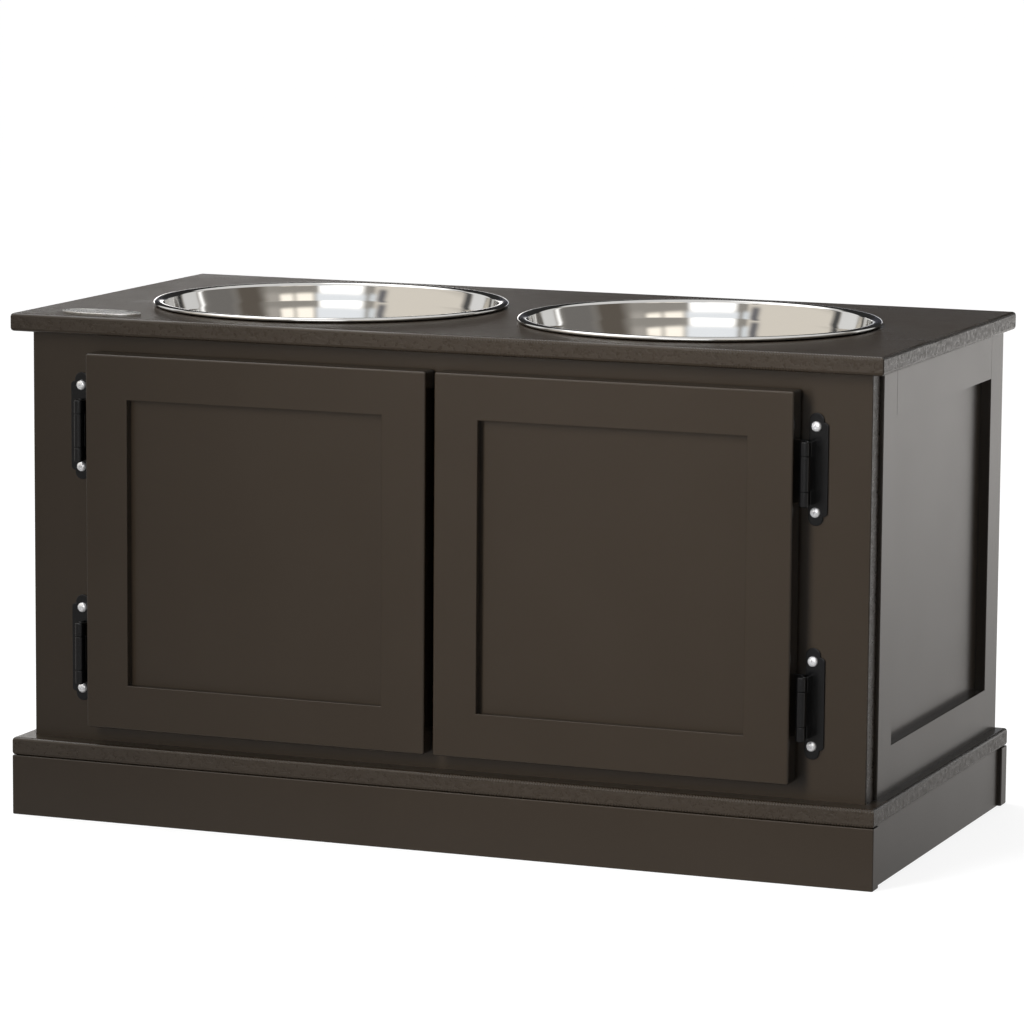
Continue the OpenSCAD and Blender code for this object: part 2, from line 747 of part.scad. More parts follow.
module frame_leaf_screws() {
    color(zinc) for (left = [false, true]) on_side(left) ear_screw_places()
        screw(hinge_shank_r, hinge_head_r, hinge_head_h, hinge_screw_len);
}
module door_leaf_screws(left) {
    color(zinc) on_side(left) door_screw_places()
        screw(hinge_shank_r, hinge_head_r, hinge_head_h, hinge_screw_len);
}
module door_leaf_screws_left() door_leaf_screws(true);
module door_leaf_screws_right() door_leaf_screws(false);

// --- Bowls and plate ---

// Points of an arc in the bowl's section
function arc(x, z, r, from, to, steps) =
    [for (i = [0:steps]) let (a = from + (to - from) * i / steps) [x + r * cos(a), z + r * sin(a)]];

// The section of the sheet metal from the rim's bead to the middle of the bottom, grown by off
function bowl_line(off) = concat(
    arc(bowl_wall_r + rim_turn - bowl_th, 2 * bead_r - rim_turn, rim_turn - off, 90, 180, 6),
    arc(bowl_bottom_r, bowl_curve - bowl_h, bowl_curve + off - bowl_th, 0, -90, 8),
    [[0, -bowl_h + bowl_th - off]]);
module bowl(side) {
    bead_x = bowl_rim_r - bead_r;
    outer = bowl_line(bowl_th);
    inner = bowl_line(0);
    color(steel) translate([side * bowl_x, bowl_y, surface_z + rim_gap]) rotate_extrude($fn = 96) {
        translate([bead_x, bead_r]) circle(r = bead_r, $fn = 24);
        polygon(concat([[bead_x, 2 * bead_r]], inner, [for (i = [len(outer) - 1:-1:0]) outer[i]],
            [[bead_x, 2 * bead_r - bowl_th]]));
    }
}
module bowl_left() bowl(-1);
module bowl_right() bowl(1);

module blank_plate() {
    color(steel) translate([plate_from_side - top_w / 2, top_y + plate_from_front, surface_z])
        linear_extrude(plate_th)
            polygon([for (i = [0:plate_points - 1])
                [cos(i * 360 / plate_points) * plate_len / 2, sin(i * 360 / plate_points) * plate_w / 2]]);
}

top_board();
base_board();
skirt_front();
skirt_back();
skirt_left();
skirt_right();
skirt_blocks();
face_stile_left();
face_stile_right();
face_rail_top();
face_rail_bottom();
side_left_stile_front();
side_left_stile_rear();
side_left_rail_top();
side_left_rail_bottom();
side_left_panel();
side_right_stile_front();
side_right_stile_rear();
side_right_rail_top();
side_right_rail_bottom();
side_right_panel();
back_board();
door_left_stile_outer();
door_left_stile_inner();
door_left_rail_top();
door_left_rail_bottom();
door_left_panel();
door_right_stile_outer();
door_right_stile_inner();
door_right_rail_top();
door_right_rail_bottom();
door_right_panel();
frame_leaf_left_upper();
frame_leaf_left_lower();
frame_leaf_right_upper();
frame_leaf_right_lower();
door_leaf_left_upper();
door_leaf_left_lower();
door_leaf_right_upper();
door_leaf_right_lower();
hinge_pins_left();
hinge_pins_right();
frame_leaf_screws();
door_leaf_screws_left();
door_leaf_screws_right();
base_screws();
block_screws();
back_screws();
face_dowels();
rail_dowels();
top_dowels();
cam_locks();
cam_bolts();
blank_plate();
bowl_left();
bowl_right();
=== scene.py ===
"""Looks of an elevated pet feeder: a painted two-door cabinet with two lift-out steel bowls."""

import math

import bmesh
import bpy
from mathutils import Matrix, Vector


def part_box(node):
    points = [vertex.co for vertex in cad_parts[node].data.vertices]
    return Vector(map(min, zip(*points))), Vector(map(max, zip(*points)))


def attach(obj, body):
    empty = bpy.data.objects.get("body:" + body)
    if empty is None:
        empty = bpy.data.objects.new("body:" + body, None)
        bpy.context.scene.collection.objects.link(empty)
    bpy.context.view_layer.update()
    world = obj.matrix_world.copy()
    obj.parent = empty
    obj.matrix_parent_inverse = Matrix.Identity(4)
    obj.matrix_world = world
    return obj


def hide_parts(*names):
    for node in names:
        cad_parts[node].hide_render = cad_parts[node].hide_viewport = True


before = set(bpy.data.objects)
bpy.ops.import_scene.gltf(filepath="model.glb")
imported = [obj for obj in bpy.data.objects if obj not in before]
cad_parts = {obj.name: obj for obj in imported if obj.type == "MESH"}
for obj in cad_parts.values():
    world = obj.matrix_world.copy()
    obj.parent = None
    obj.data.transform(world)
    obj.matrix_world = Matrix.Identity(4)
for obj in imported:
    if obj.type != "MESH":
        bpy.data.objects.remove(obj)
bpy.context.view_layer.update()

MM = 0.001

# How near two places count as the same and how near points are merged, in mm; and up to what turn,
# in radians, two faces count as one surface
SAME_PLACE = 1e-3
MERGE_REACH = 1e-4
FLAT_TURN = 0.1

# Camera: where it stands, in metres, and how it is turned, in degrees
CAMERA_AT = (1.2086, -3.0743, 0.6856)
CAMERA_YAW = 21.5
CAMERA_PITCH = 8.34
CAMERA_ROLL = 0.42
CAMERA_LENS = 176.24
CAMERA_CLIP = (0.05, 200)
FILM_WIDTH = 36

# Boards, in mm: how much each kind of arris is eased, how far apart the cutter's marks stand on the
# coarse ones, and the gap round the back board. Also the steps of a rounded edge, the turn from which
# a small piece's edge is rounded, in degrees, and the paints' places on a board with cut edges.
SHEET_EDGE = 2.2
DOOR_EDGE = 1.6
BOARD_EDGE = 0.8
PANEL_SIDE_EDGE = 0.5
JOINT_EDGE = 0.05
EDGE_STEPS = 4
FINE_STEPS = 2
SHARP_TURN = 40
SHARP = 0.0
NO_LIMIT = 99.0
CUTTER_PITCH = 1.9
BACK_GAP = 0.1
ARRIS_SLOT = 1
CUT_EDGE_SLOT = 2
CUT_EDGES = ("left", "right", "front", "back")

# Top board, in mm: the bowl holes, their eased edge, and the square of faces kept round each hole
HOLE_POINTS = 96
HOLE_EDGE = 0.8
HOLE_RADIUS = 113.5
HOLE_MARGIN = 6.0

# Bowls, in mm: radii, heights over the rim's underside, and the sheet's thickness; the walls' lean in
# degrees; the section of the ring pressed into the bottom, by distance out from its radius and share
# of its height; and the steps that the curves are made of
BOWL_RIM_R = 119.0
BEAD_HALF_H = 1.6
BEAD_OUT = 2.8
BEAD_IN = 4.3
BEAD_IN_DROP = 2.3
BOWL_BOTTOM_R = 80.0
BOWL_CURVE_R = 22.0
BOWL_DEPTH = 65.0
BOWL_SHEET = 1.0
WALL_STEEP = 9.0
WALL_FLAT = 16.0
WALL_RIDGE = -9.0
WALL_FADE = -18.0
BOWL_RING_R = 62.0
BOWL_RING_H = 0.7
BOWL_RING = ((-3, 0), (-1.5, 0.5), (0, 1), (2, 0.6), (4, 0))
BOWL_STEPS = 180
CORNER_STEPS = 14
LIP_STEPS = 10
BEAD_STEPS = 26
WALL_STEPS = 10

# Hinges, in mm, measured from the pin axis
HINGE_REACH = 13.0
LEAF_THICK = 1.2
KNUCKLE_R = 3.0
PIN_R = 1.3
BARREL_LEN = 40.0
MIDDLE_KNUCKLE = 22.0
KNUCKLE_GAP = 0.3
EAR_R = 4.8
EAR_OUT = 3.5
LEAF_LEN = 71.0
WING_LEN = 59.0
WING_OUT = 11.2
WING_CUT = 1.6
EAR_PITCH = 54.0
LEAF_EDGE = 0.45
DOOR_STAND_OFF = 1.5
DOOR_SCREW_UP = 12.0
# How far a web goes into the door leaf, and how far it stays inside the frame leaf's back
LEAF_LAP = 0.2
# How far a knuckle is rolled, in degrees, and in how many steps; the radius of the pins' domed caps and
# of their feet, as shares of the knuckle's, how thick the caps' rims are, and their steps
CURL_TURN = 320
CURL_STEPS = 20
CAP_DOME = 1.6
CAP_FOOT = 0.98
CAP_RIM = 0.15
CAP_STEPS = 6
PIN_STEPS = 32

# Screws, in mm; the head's outline as shares of its radius and height; the cross recess: its arms as a
# share of the head's radius, their reach at the foot and the mouth as shares of that, their width as a
# share of their length and their middle's height as a share of the head's; how much each screw is
# turned further than the one before, in radians, and from what turn its edges are sharp, in degrees
PAN_HEAD_R = 3.3
PAN_HEAD_H = 2.3
PAN_SHANK_R = 1.6
PAN_SCREW_LEN = 12.0
PAN_TIP_LEN = 2.0
PAN_OUTLINE = ((0, 1), (0.35, 0.98), (0.62, 0.9), (0.84, 0.72), (0.97, 0.42), (1, 0.2), (0.98, 0))
PAN_STEPS = 40
RECESS_ARM = 0.56
RECESS_FOOT = 0.35
RECESS_MOUTH = 1.42
RECESS_SLIM = 0.3
RECESS_LEVEL = 1.05
SCREW_TURN = 0.7
SCREW_SHARP = 35

# Studio: how much of the floor's white is its own to the camera, how white that is, and its painted
# shade
# from ambient occlusion: how much of the white stays close to the object and from how far off, in
# metres
CAMERA_SHARE = 0.78
CAMERA_WHITE = 1.27
SHADED_WHITE = 0.78
SHADE_REACH = 0.25
# How pale the floor is to the light; how bright it shows to shiny surfaces, a painted reflection that
# is
# set by place and not by the lamps: in front of the object, beside it and how much more behind it;
# where along Y these begin, in metres; its tint; and the backdrop's light
FLOOR_HALF = 60000
FLOOR_PALE = 0.5
FLOOR_FRONT = 0.28
FLOOR_BESIDE = 0.72
FLOOR_BEHIND = 0.62
FLOOR_LEVELS_Y = (-0.35, 0.35, 2.0)
FLOOR_TINT = (1, 0.97, 0.94, 1)
WORLD_LIGHT = 0.06

# Lamps: name, place and aim in metres, width and height in metres, power in watts, spread in degrees
LAMPS = (
    ("tall_softbox", (-0.25, -1.15, 0.65), (0.36, -0.13, 0.25), (0.3, 1.2), 6.0, 90),
    ("softbox_overhead", (-1.1, 0.4, 2.3), (0.1, 0, 0.3), (1.6, 1.6), 45, 180),
    ("softbox_side", (1.8, 1.2, 1.2), (0.3, 0, 0.2), (1.2, 1.2), 6, 180),
)

# Painted reflections: a dome that only shiny surfaces see and that lights nothing. Its panels stand for
# the studio's walls, windows, softboxes and ceiling as the metal sees them: azimuths from and to,
# heights from and to, how softly the panel ends sideways and upwards, all in degrees, and how it glows.
# Azimuth
# 0 is in front of the object and 90 to its right. Later panels lie over earlier ones. The whole dome is
# turned a little.
ROOM_RADIUS = 2300.0
ROOM_TURN = -2.0
ROOM_FOOT = -3
ROOM_STEPS = 240
ROOM_RISE_STEPS = 90
# The painted reflection's colour where no panel lies
PAINTED_REFLECTION_BASE = (0.40, 0.38, 0.35)
PAINTED_REFLECTION_PANELS = (
    (-180, 180, 36, 95, 1, 3, (0.9, 0.9, 0.9)),
    (-150, -60, 44, 70, 5, 5, (3.0, 3.0, 3.0)),
    # Painted highlight: a bright strip that shows along the boards' rounded arrises
    (-60, 20, 46, 58, 6, 4, (2.5, 2.45, 2.4)),
    (-84, -10, 4, 36, 3, 10, (0.95, 0.89, 0.80)),
    (-120, -94, -5, 32, 3, 2, (0.95, 0.95, 0.95)),
    (-92, -87, 3, 22, 2, 3, (0.10, 0.10, 0.10)),
    (-19, -13, 14, 30, 4, 3, (0.18, 0.18, 0.20)),
    (-12, -7, 19, 30, 3, 3, (0.95, 1.0, 1.05)),
    (-4, 34, 20, 36, 4, 3, (1.15, 1.2, 1.27)),
    (-1, 31, -5, 20, 5, 4, (2.4, 2.4, 2.4)),
    (36, 50, 20, 31, 4, 3, (1.6, 1.5, 1.35)),
    (52, 63, 20, 31, 4, 3, (1.6, 1.5, 1.35)),
    (64, 76, 18, 31, 4, 4, (0.55, 0.52, 0.48)),
    (76, 100, -5, 36, 10, 3, (0.15, 0.13, 0.11)),
    (100, 132, -5, 36, 10, 3, (0.22, 0.21, 0.20)),
    (133, 137, -5, 18, 2, 3, (1.6, 1.6, 1.6)),
    (139, 158, -5, 30, 3, 3, (0.85, 0.85, 0.85)),
    (160, 240, -5, 36, 3, 3, (0.03, 0.03, 0.03)),
    (180, 226, -5, 8.5, 3, 3, (0.05, 0.05, 0.06)),
    (180, 200, -9, 2.0, 4, 3, (1.4, 1.42, 1.46)),
    (200, 204, -9, 3.2, 4, 3, (1.5, 1.5, 1.5)),
    (204, 228, -9, 4.2, 4, 2, (2.6, 2.55, 2.5)),
)

# Blank oval plate, in mm
PLATE_POINTS = 64
PLATE_RIM_W = 1.0
PLATE_RIM_H = 0.25
PLATE_EDGE = 0.2


# ---------------------------------------------------------------- mesh helpers

def piece(name, mesh, body, slot, *materials):
    """Wraps a finished mesh as a piece that stands for the CAD node of the same name."""
    made = bpy.data.objects.new("skin_" + name, mesh)
    bpy.context.scene.collection.objects.link(made)
    for material in materials:
        mesh.materials.append(material)
    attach(made, body)
    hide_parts(name)
    return made


def to_mesh(shape, name, smooth=True):
    """Turns a bmesh into a mesh, in metres."""
    bmesh.ops.scale(shape, vec=(MM, MM, MM), verts=shape.verts)
    mesh = bpy.data.meshes.new(name)
    for face in shape.faces:
        face.smooth = smooth
    shape.to_mesh(mesh)
    shape.free()
    return mesh


def box_mm(node):
    """A CAD node's lowest and highest corners, in mm."""
    low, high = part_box(node)
    return low / MM, high / MM


def add_box(shape, low, high):
    """Adds a box between two corners and returns its vertices."""
    size = Vector(high) - Vector(low)
    middle = (Vector(high) + Vector(low)) / 2
    return bmesh.ops.create_cube(
        shape, size=1, matrix=Matrix.Translation(middle) @ Matrix.Diagonal((*size, 1)))["verts"]


def arc(x, y, radius, start, end, steps, squash=1.0):
    """Points of an arc, from start to end in degrees. squash is its height as a share of its width."""
    turns = [math.radians(start + (end - start) * i / steps) for i in range(steps + 1)]
    return [(x + radius * math.cos(t), y + radius * squash * math.sin(t)) for t in turns]


def is_level(face):
    """Whether a face lies level, like a board's top."""
    return abs(face.normal.z) > 0.5


def add_prism(shape, outline, step):
    """Adds a solid with a flat outline of points, drawn out by a step."""
    face = shape.faces.new([shape.verts.new(point) for point in outline])
    walls = bmesh.ops.extrude_face_region(shape, geom=[face])["geom"]
    moved = [v for v in walls if isinstance(v, bmesh.types.BMVert)]
    bmesh.ops.translate(shape, vec=step, verts=moved)


def revolve(shape, profile, steps):
    """Spins a chain of (radius, height) points round Z, closed at the poles."""
    chain = [shape.verts.new((r, 0, z)) for r, z in profile]
    edges = [shape.edges.new(pair) for pair in zip(chain, chain[1:])]
    bmesh.ops.spin(shape, geom=chain + edges, cent=(0, 0, 0), axis=(0, 0, 1), dvec=(0, 0, 0),
                   angle=2 * math.pi, steps=steps, use_merge=True, use_duplicate=False)
    bmesh.ops.remove_doubles(shape, verts=shape.verts, dist=MERGE_REACH)
    bmesh.ops.recalc_face_normals(shape, faces=shape.faces)


def ease(made, radius, weighted=True, segments=EDGE_STEPS):
    """Rounds a piece's edges, in mm: by the edges' own weights, or wherever it turns sharply."""
    rounding = made.modifiers.new("eased_edges", "BEVEL")
    rounding.width = radius * MM
    rounding.segments = segments
    rounding.limit_method = "WEIGHT" if weighted else "ANGLE"
    rounding.angle_limit = math.radians(SHARP_TURN)
    rounding.harden_normals = True
    rounding.use_clamp_overlap = False
    return rounding


def weigh_edges(shape, radius_of):
    """Gives each edge a bevel weight, keeps unrounded corners sharp, and returns the largest radius."""
    weights = shape.edges.layers.float.new("bevel_weight_edge")
    radii = [radius_of(edge) for edge in shape.edges]
    for edge, radius in zip(shape.edges, radii):
        edge[weights] = radius / max(radii)
        edge.smooth = radius > 0 or edge.calc_face_angle(0) < FLAT_TURN
    return max(radii)


# ---------------------------------------------------------------- material helpers

def add_node(tree, kind, inputs=(), **options):
    """Adds a node with its options, and sets or links its inputs."""
    made = tree.nodes.new(kind)
    for option, value in options.items():
        setattr(made, option, value)
    for name, value in dict(inputs).items():
        if isinstance(value, bpy.types.NodeSocket):
            tree.links.new(value, made.inputs[name])
        else:
            made.inputs[name].default_value = value
    return made


def new_group(name, inputs, outputs):
    """A shader node group with named inputs and outputs. Returns its tree, inputs and output node."""
    tree = bpy.data.node_groups.new(name, "ShaderNodeTree")
    for label, (kind, value) in inputs.items():
        made = tree.interface.new_socket(label, in_out="INPUT", socket_type=kind)
        made.default_value = value
    for label, kind in outputs.items():
        tree.interface.new_socket(label, in_out="OUTPUT", socket_type=kind)
    given = tree.nodes.new("NodeGroupInput")
    result = tree.nodes.new("NodeGroupOutput")
    return tree, given.outputs, result


def place_group(tree, group, **inputs):
    """Places a node group in a material and sets or links its inputs."""
    made = tree.nodes.new("ShaderNodeGroup")
    made.node_tree = group
    for name, value in inputs.items():
        label = name.replace("_", " ").capitalize()
        if isinstance(value, bpy.types.NodeSocket):
            tree.links.new(value, made.inputs[label])
        else:
            made.inputs[label].default_value = value
    return made.outputs


def math_node(tree, operation, a, b=0.0):
    """One sum on two values, sockets or numbers."""
    return add_node(tree, "ShaderNodeMath", {0: a, 1: b}, operation=operation).outputs[0]


def blend(tree, a, b, share):
    """Two values added, the first by a share and the second by the rest of it."""
    first = math_node(tree, "MULTIPLY", a, share)
    return math_node(tree, "ADD", first, math_node(tree, "MULTIPLY", b, 1 - share))


def remap(tree, value, low, high, to_low=0.0, to_high=1.0):
    """A value moved from one range to another, held at its ends."""
    return add_node(tree, "ShaderNodeMapRange", {
        "Value": value, "From Min": low, "From Max": high, "To Min": to_low, "To Max": to_high,
    }).outputs[0]


def noise(tree, scale, detail=2.0, roughness=0.5, vector=None, stretch=(1, 1, 1)):
    """Noise on object coordinates. The scale is in features per metre."""
    if vector is None:
        vector = add_node(tree, "ShaderNodeTexCoord").outputs["Object"]
    if stretch != (1, 1, 1):
        vector = add_node(tree, "ShaderNodeMapping", {"Vector": vector, "Scale": stretch}).outputs[0]
    return add_node(tree, "ShaderNodeTexNoise", {
        "Vector": vector, "Scale": scale, "Detail": detail, "Roughness": roughness,
    }).outputs["Fac"]


def new_material(name, **inputs):
    """A material with one Principled BSDF. Its inputs are given by plain names."""
    material = bpy.data.materials.new(name)
    material.use_nodes = True
    tree = material.node_tree
    shader = tree.nodes["Principled BSDF"]
    for label, value in inputs.items():
        shader.inputs[label.replace("_", " ").title().replace("Ior", "IOR")].default_value = value
    return material, tree, shader


def bump(tree, shader, height, distance, strength=1.0):
    """Feeds a height, in mm of relief, to a shader's normal."""
    made = add_node(tree, "ShaderNodeBump", {
        "Height": height, "Distance": distance * MM, "Strength": strength})
    tree.links.new(made.outputs[0], shader.inputs["Normal"])


# ---------------------------------------------------------------- shared effects

def make_orange_peel():
    """The fine dimples and slow waves of sprayed paint, as a height from 0 to 1."""
    tree, given, result = new_group(
        "orange_peel",
        {"Pitch": ("NodeSocketFloat", 900.0), "Waves": ("NodeSocketFloat", 0.5)},
        {"Height": "NodeSocketFloat"})
    dimples = noise(tree, given["Pitch"], 3.0, 0.55)
    slow = noise(tree, 60.0, 1.0, 0.5)
    lifted = math_node(tree, "MULTIPLY", slow, given["Waves"])
    tree.links.new(math_node(tree, "ADD", dimples, lifted), result.inputs["Height"])
    return tree


def make_paint_tone():
    """Slight clouding of a paint's colour and gloss."""
    tree, given, result = new_group(
        "paint_tone",
        {"Colour": ("NodeSocketColor", (0.03, 0.02, 0.02, 1)),
         "Clouding": ("NodeSocketFloat", 0.1),
         "Gloss low": ("NodeSocketFloat", 0.35),
         "Gloss high": ("NodeSocketFloat", 0.45)},
        {"Colour": "NodeSocketColor", "Roughness": "NodeSocketFloat"})
    clouds = noise(tree, 14.0, 3.0, 0.6)
    specks = noise(tree, 700.0, 2.0, 0.6)
    both = blend(tree, clouds, specks, 0.6)
    centred = math_node(tree, "MULTIPLY", math_node(tree, "SUBTRACT", both, 0.5), given["Clouding"])
    level = math_node(tree, "ADD", centred, 1.0)
    shaded = add_node(tree, "ShaderNodeVectorMath", {0: given["Colour"], 3: level}, operation="SCALE")
    gloss = add_node(tree, "ShaderNodeMapRange", {
        "Value": clouds, "From Min": 0.3, "From Max": 0.7,
        "To Min": given["Gloss low"], "To Max": given["Gloss high"]})
    tree.links.new(shaded.outputs[0], result.inputs["Colour"])
    tree.links.new(gloss.outputs[0], result.inputs["Roughness"])
    return tree


def make_board_grain():
    """Fine grain printed through the paint of a flat board, along X, as a height and a mask."""
    tree, given, result = new_group(
        "board_grain",
        {"Fineness": ("NodeSocketFloat", 500.0)},
        {"Height": "NodeSocketFloat", "Mask": "NodeSocketFloat"})
    streaks = noise(tree, given["Fineness"], 4.0, 0.7, stretch=(0.12, 1, 1))
    pores = noise(tree, given["Fineness"], 3.0, 0.7, stretch=(0.6, 1.6, 1))
    both = blend(tree, streaks, pores, 0.5)
    tree.links.new(both, result.inputs["Height"])
    tree.links.new(remap(tree, both, 0.35, 0.65), result.inputs["Mask"])
    return tree


ORANGE_PEEL = make_orange_peel()
PAINT_TONE = make_paint_tone()
BOARD_GRAIN = make_board_grain()
PAINT_COLOUR = (0.0310, 0.0222, 0.0145, 1)


# ---------------------------------------------------------------- materials

def new_paint(name, **looks):
    """A material in the paint's colour, with its own clouding and gloss. Returns its tone as well."""
    material, tree, shader = new_material(name, specular_ior_level=0.5)
    tone = place_group(tree, PAINT_TONE, colour=PAINT_COLOUR, **looks)
    tree.links.new(tone["Colour"], shader.inputs["Base Color"])
    return material, tree, shader, tone


def face_paint():
    """Satin sprayed paint on the doors and frames."""
    material, tree, shader, tone = new_paint(
        "face_paint", clouding=0.1, gloss_low=0.23, gloss_high=0.27)
    tree.links.new(tone["Roughness"], shader.inputs["Roughness"])
    peel = place_group(tree, ORANGE_PEEL, pitch=900.0, waves=0.4)
    bump(tree, shader, peel["Height"], 0.015)
    return material


def top_paint():
    """Flatter paint on the level boards, with the board's grain showing."""
    material, tree, shader, tone = new_paint(
        "top_paint", clouding=0.2, gloss_low=0.24, gloss_high=0.3)
    grain = place_group(tree, BOARD_GRAIN, fineness=650.0)
    rough = math_node(tree, "ADD", tone["Roughness"], math_node(tree, "MULTIPLY", grain["Mask"], 0.08))
    tree.links.new(rough, shader.inputs["Roughness"])
    bump(tree, shader, grain["Height"], 0.08)
    return material


def edge_paint():
    """Paint on the boards' cut edges, where the fibre gives it a coarser skin."""
    material, tree, shader, _ = new_paint("edge_paint", clouding=0.5)
    fibre = noise(tree, 260.0, 4.0, 0.7)
    tree.links.new(remap(tree, fibre, 0.35, 0.65, 0.2, 0.48), shader.inputs["Roughness"])
    bump(tree, shader, fibre, 0.5)
    return material


def arris_paint():
    """Paint on the boards' rounded arrises, where the cutter's marks show through in places."""
    material, tree, shader, tone = new_paint(
        "arris_paint", clouding=0.3, gloss_low=0.22, gloss_high=0.3)
    tree.links.new(tone["Roughness"], shader.inputs["Roughness"])
    place = add_node(tree, "ShaderNodeTexCoord").outputs["Object"]
    along_x, along_y, _ = add_node(tree, "ShaderNodeSeparateXYZ", {0: place}).outputs
    along = math_node(tree, "ADD", along_x, along_y)
    phase = math_node(tree, "MULTIPLY", along, 2 * math.pi / (CUTTER_PITCH * MM))
    chatter = remap(tree, noise(tree, 9.0, 1.0, 0.5), 0.42, 0.6, 0.1, 1.0)
    marks = math_node(tree, "MULTIPLY", math_node(tree, "SINE", phase), chatter)
    fibre = noise(tree, 900.0, 3.0, 0.6)
    bump(tree, shader, math_node(tree, "ADD", fibre, marks), 0.14)
    return material


def bowl_steel():
    """Polished stainless steel, a little wavy and of uneven gloss."""
    material, tree, shader = new_material(
        "polished_steel", metallic=1.0, base_color=(0.66, 0.65, 0.63, 1))
    clouds = noise(tree, 30.0, 3.0, 0.6)
    tree.links.new(remap(tree, clouds, 0.3, 0.7, 0.05, 0.09), shader.inputs["Roughness"])
    bump(tree, shader, noise(tree, 45.0, 1.0, 0.4), 0.02)
    return material


def zinc_plate():
    """Bright zinc plating on the screws."""
    material, tree, shader = new_material("bright_zinc", metallic=0.5, base_color=(0.93, 0.93, 0.94, 1))
    clouds = noise(tree, 900.0, 2.0, 0.5)
    tree.links.new(remap(tree, clouds, 0.3, 0.7, 0.16, 0.28), shader.inputs["Roughness"])
    bump(tree, shader, clouds, 0.01)
    return material


def hinge_black():
    """Gloss black enamel on the hinges."""
    material, tree, shader = new_material("black_enamel", base_color=(0.004, 0.004, 0.0045, 1))
    clouds = noise(tree, 500.0, 2.0, 0.5)
    tree.links.new(remap(tree, clouds, 0.3, 0.7, 0.20, 0.26), shader.inputs["Roughness"])
    bump(tree, shader, noise(tree, 300.0, 2.0, 0.5), 0.003)
    return material


def plate_steel():
    """Satin metal of the blank plate."""
    material, tree, shader = new_material("satin_plate", metallic=1.0, base_color=(0.86, 0.85, 0.83, 1))
    lines = noise(tree, 900.0, 3.0, 0.6, stretch=(0.06, 1, 1))
    tree.links.new(remap(tree, lines, 0.3, 0.7, 0.22, 0.36), shader.inputs["Roughness"])
    bump(tree, shader, lines, 0.01)
    return material


def raw_wood():
    """Bare softwood of the corner blocks and dowels."""
    material, tree, shader = new_material("raw_wood", roughness=0.7)
    rings = noise(tree, 260.0, 4.0, 0.6, stretch=(1, 1, 0.08))
    ramp = add_node(tree, "ShaderNodeValToRGB", {"Fac": rings})
    ramp.color_ramp.elements[0].position = 0.35
    ramp.color_ramp.elements[0].color = (0.42, 0.27, 0.13, 1)
    ramp.color_ramp.elements[1].position = 0.65
    ramp.color_ramp.elements[1].color = (0.66, 0.48, 0.27, 1)
    tree.links.new(ramp.outputs["Color"], shader.inputs["Base Color"])
    bump(tree, shader, rings, 0.1)
    return material


FACE_PAINT = face_paint()
TOP_PAINT = top_paint()
EDGE_PAINT = edge_paint()
ARRIS_PAINT = arris_paint()
BOWL_STEEL = bowl_steel()
ZINC_PLATE = zinc_plate()
HINGE_BLACK = hinge_black()
PLATE_STEEL = plate_steel()
RAW_WOOD = raw_wood()


# ---------------------------------------------------------------- boards

# A box's sides, by axis and end
SIDES = {
    "left": (0, -1), "right": (0, 1),
    "front": (1, -1), "back": (1, 1),
    "bottom": (2, -1), "top": (2, 1)}


def touches(edge, low, high, side):
    """Whether both ends of an edge lie on one side of a box."""
    axis, end = SIDES[side]
    level = high[axis] if end > 0 else low[axis]
    return all(abs(v.co[axis] - level) < SAME_PLACE for v in edge.verts)


def sides_of(edge, low, high):
    """The sides of a box that an edge lies on."""
    return [side for side in SIDES if touches(edge, low, high, side)]


def coarsen(shape, low, high, sides):
    """Gives the faces on some sides of a box the paint of a board's cut edges."""
    for face in shape.faces:
        if any(all(touches(edge, low, high, side) for edge in face.edges) for side in sides):
            face.material_index = CUT_EDGE_SLOT


def add_rabbeted_post(shape, low, high, step):
    """Adds an upright box with a rabbet along the inner one of its back edges. step is the rabbet's
    inner corner."""
    inner, outer = (low.x, high.x) if step.x > 0 else (high.x, low.x)
    outline = [(inner, low.y), (outer, low.y), (outer, high.y),
               (step.x, high.y), (step.x, step.y), (inner, step.y)]
    add_prism(shape, [(x, y, low.z) for x, y in outline], (0, 0, high.z - low.z))
    bmesh.ops.recalc_face_normals(shape, faces=shape.faces)


def board(name, body, eased, cut=(), upright=NO_LIMIT, paint=FACE_PAINT, coarse=(), rabbet=None):
    """A painted board on a CAD node's box. eased gives the most that the edges of each side are
    rounded, upright the most that its four upright edges are, and cut moves a side, all in mm.
    coarse names the sides that show the board's cut edge; only such a board has coarse arrises.
    rabbet is the inner corner of a rabbet for the back board."""
    low, high = box_mm(name)
    for side, level in dict(cut).items():
        axis, end = SIDES[side]
        (high if end > 0 else low)[axis] = level

    def radius_of(edge):
        sides = sides_of(edge, low, high)
        if len(sides) < 2:
            return SHARP
        limit = NO_LIMIT if {"top", "bottom"} & set(sides) else upright
        return min(limit, *(eased.get(side, NO_LIMIT) for side in sides))

    shape = bmesh.new()
    if rabbet:
        add_rabbeted_post(shape, low, high, rabbet)
    else:
        add_box(shape, low, high)
    coarsen(shape, low, high, coarse)
    largest = weigh_edges(shape, radius_of)
    paints = (paint, ARRIS_PAINT, EDGE_PAINT) if coarse else (paint,)
    made = piece(name, to_mesh(shape, name), body, "brown_paint", *paints)
    ease(made, largest).material = ARRIS_SLOT if coarse else 0


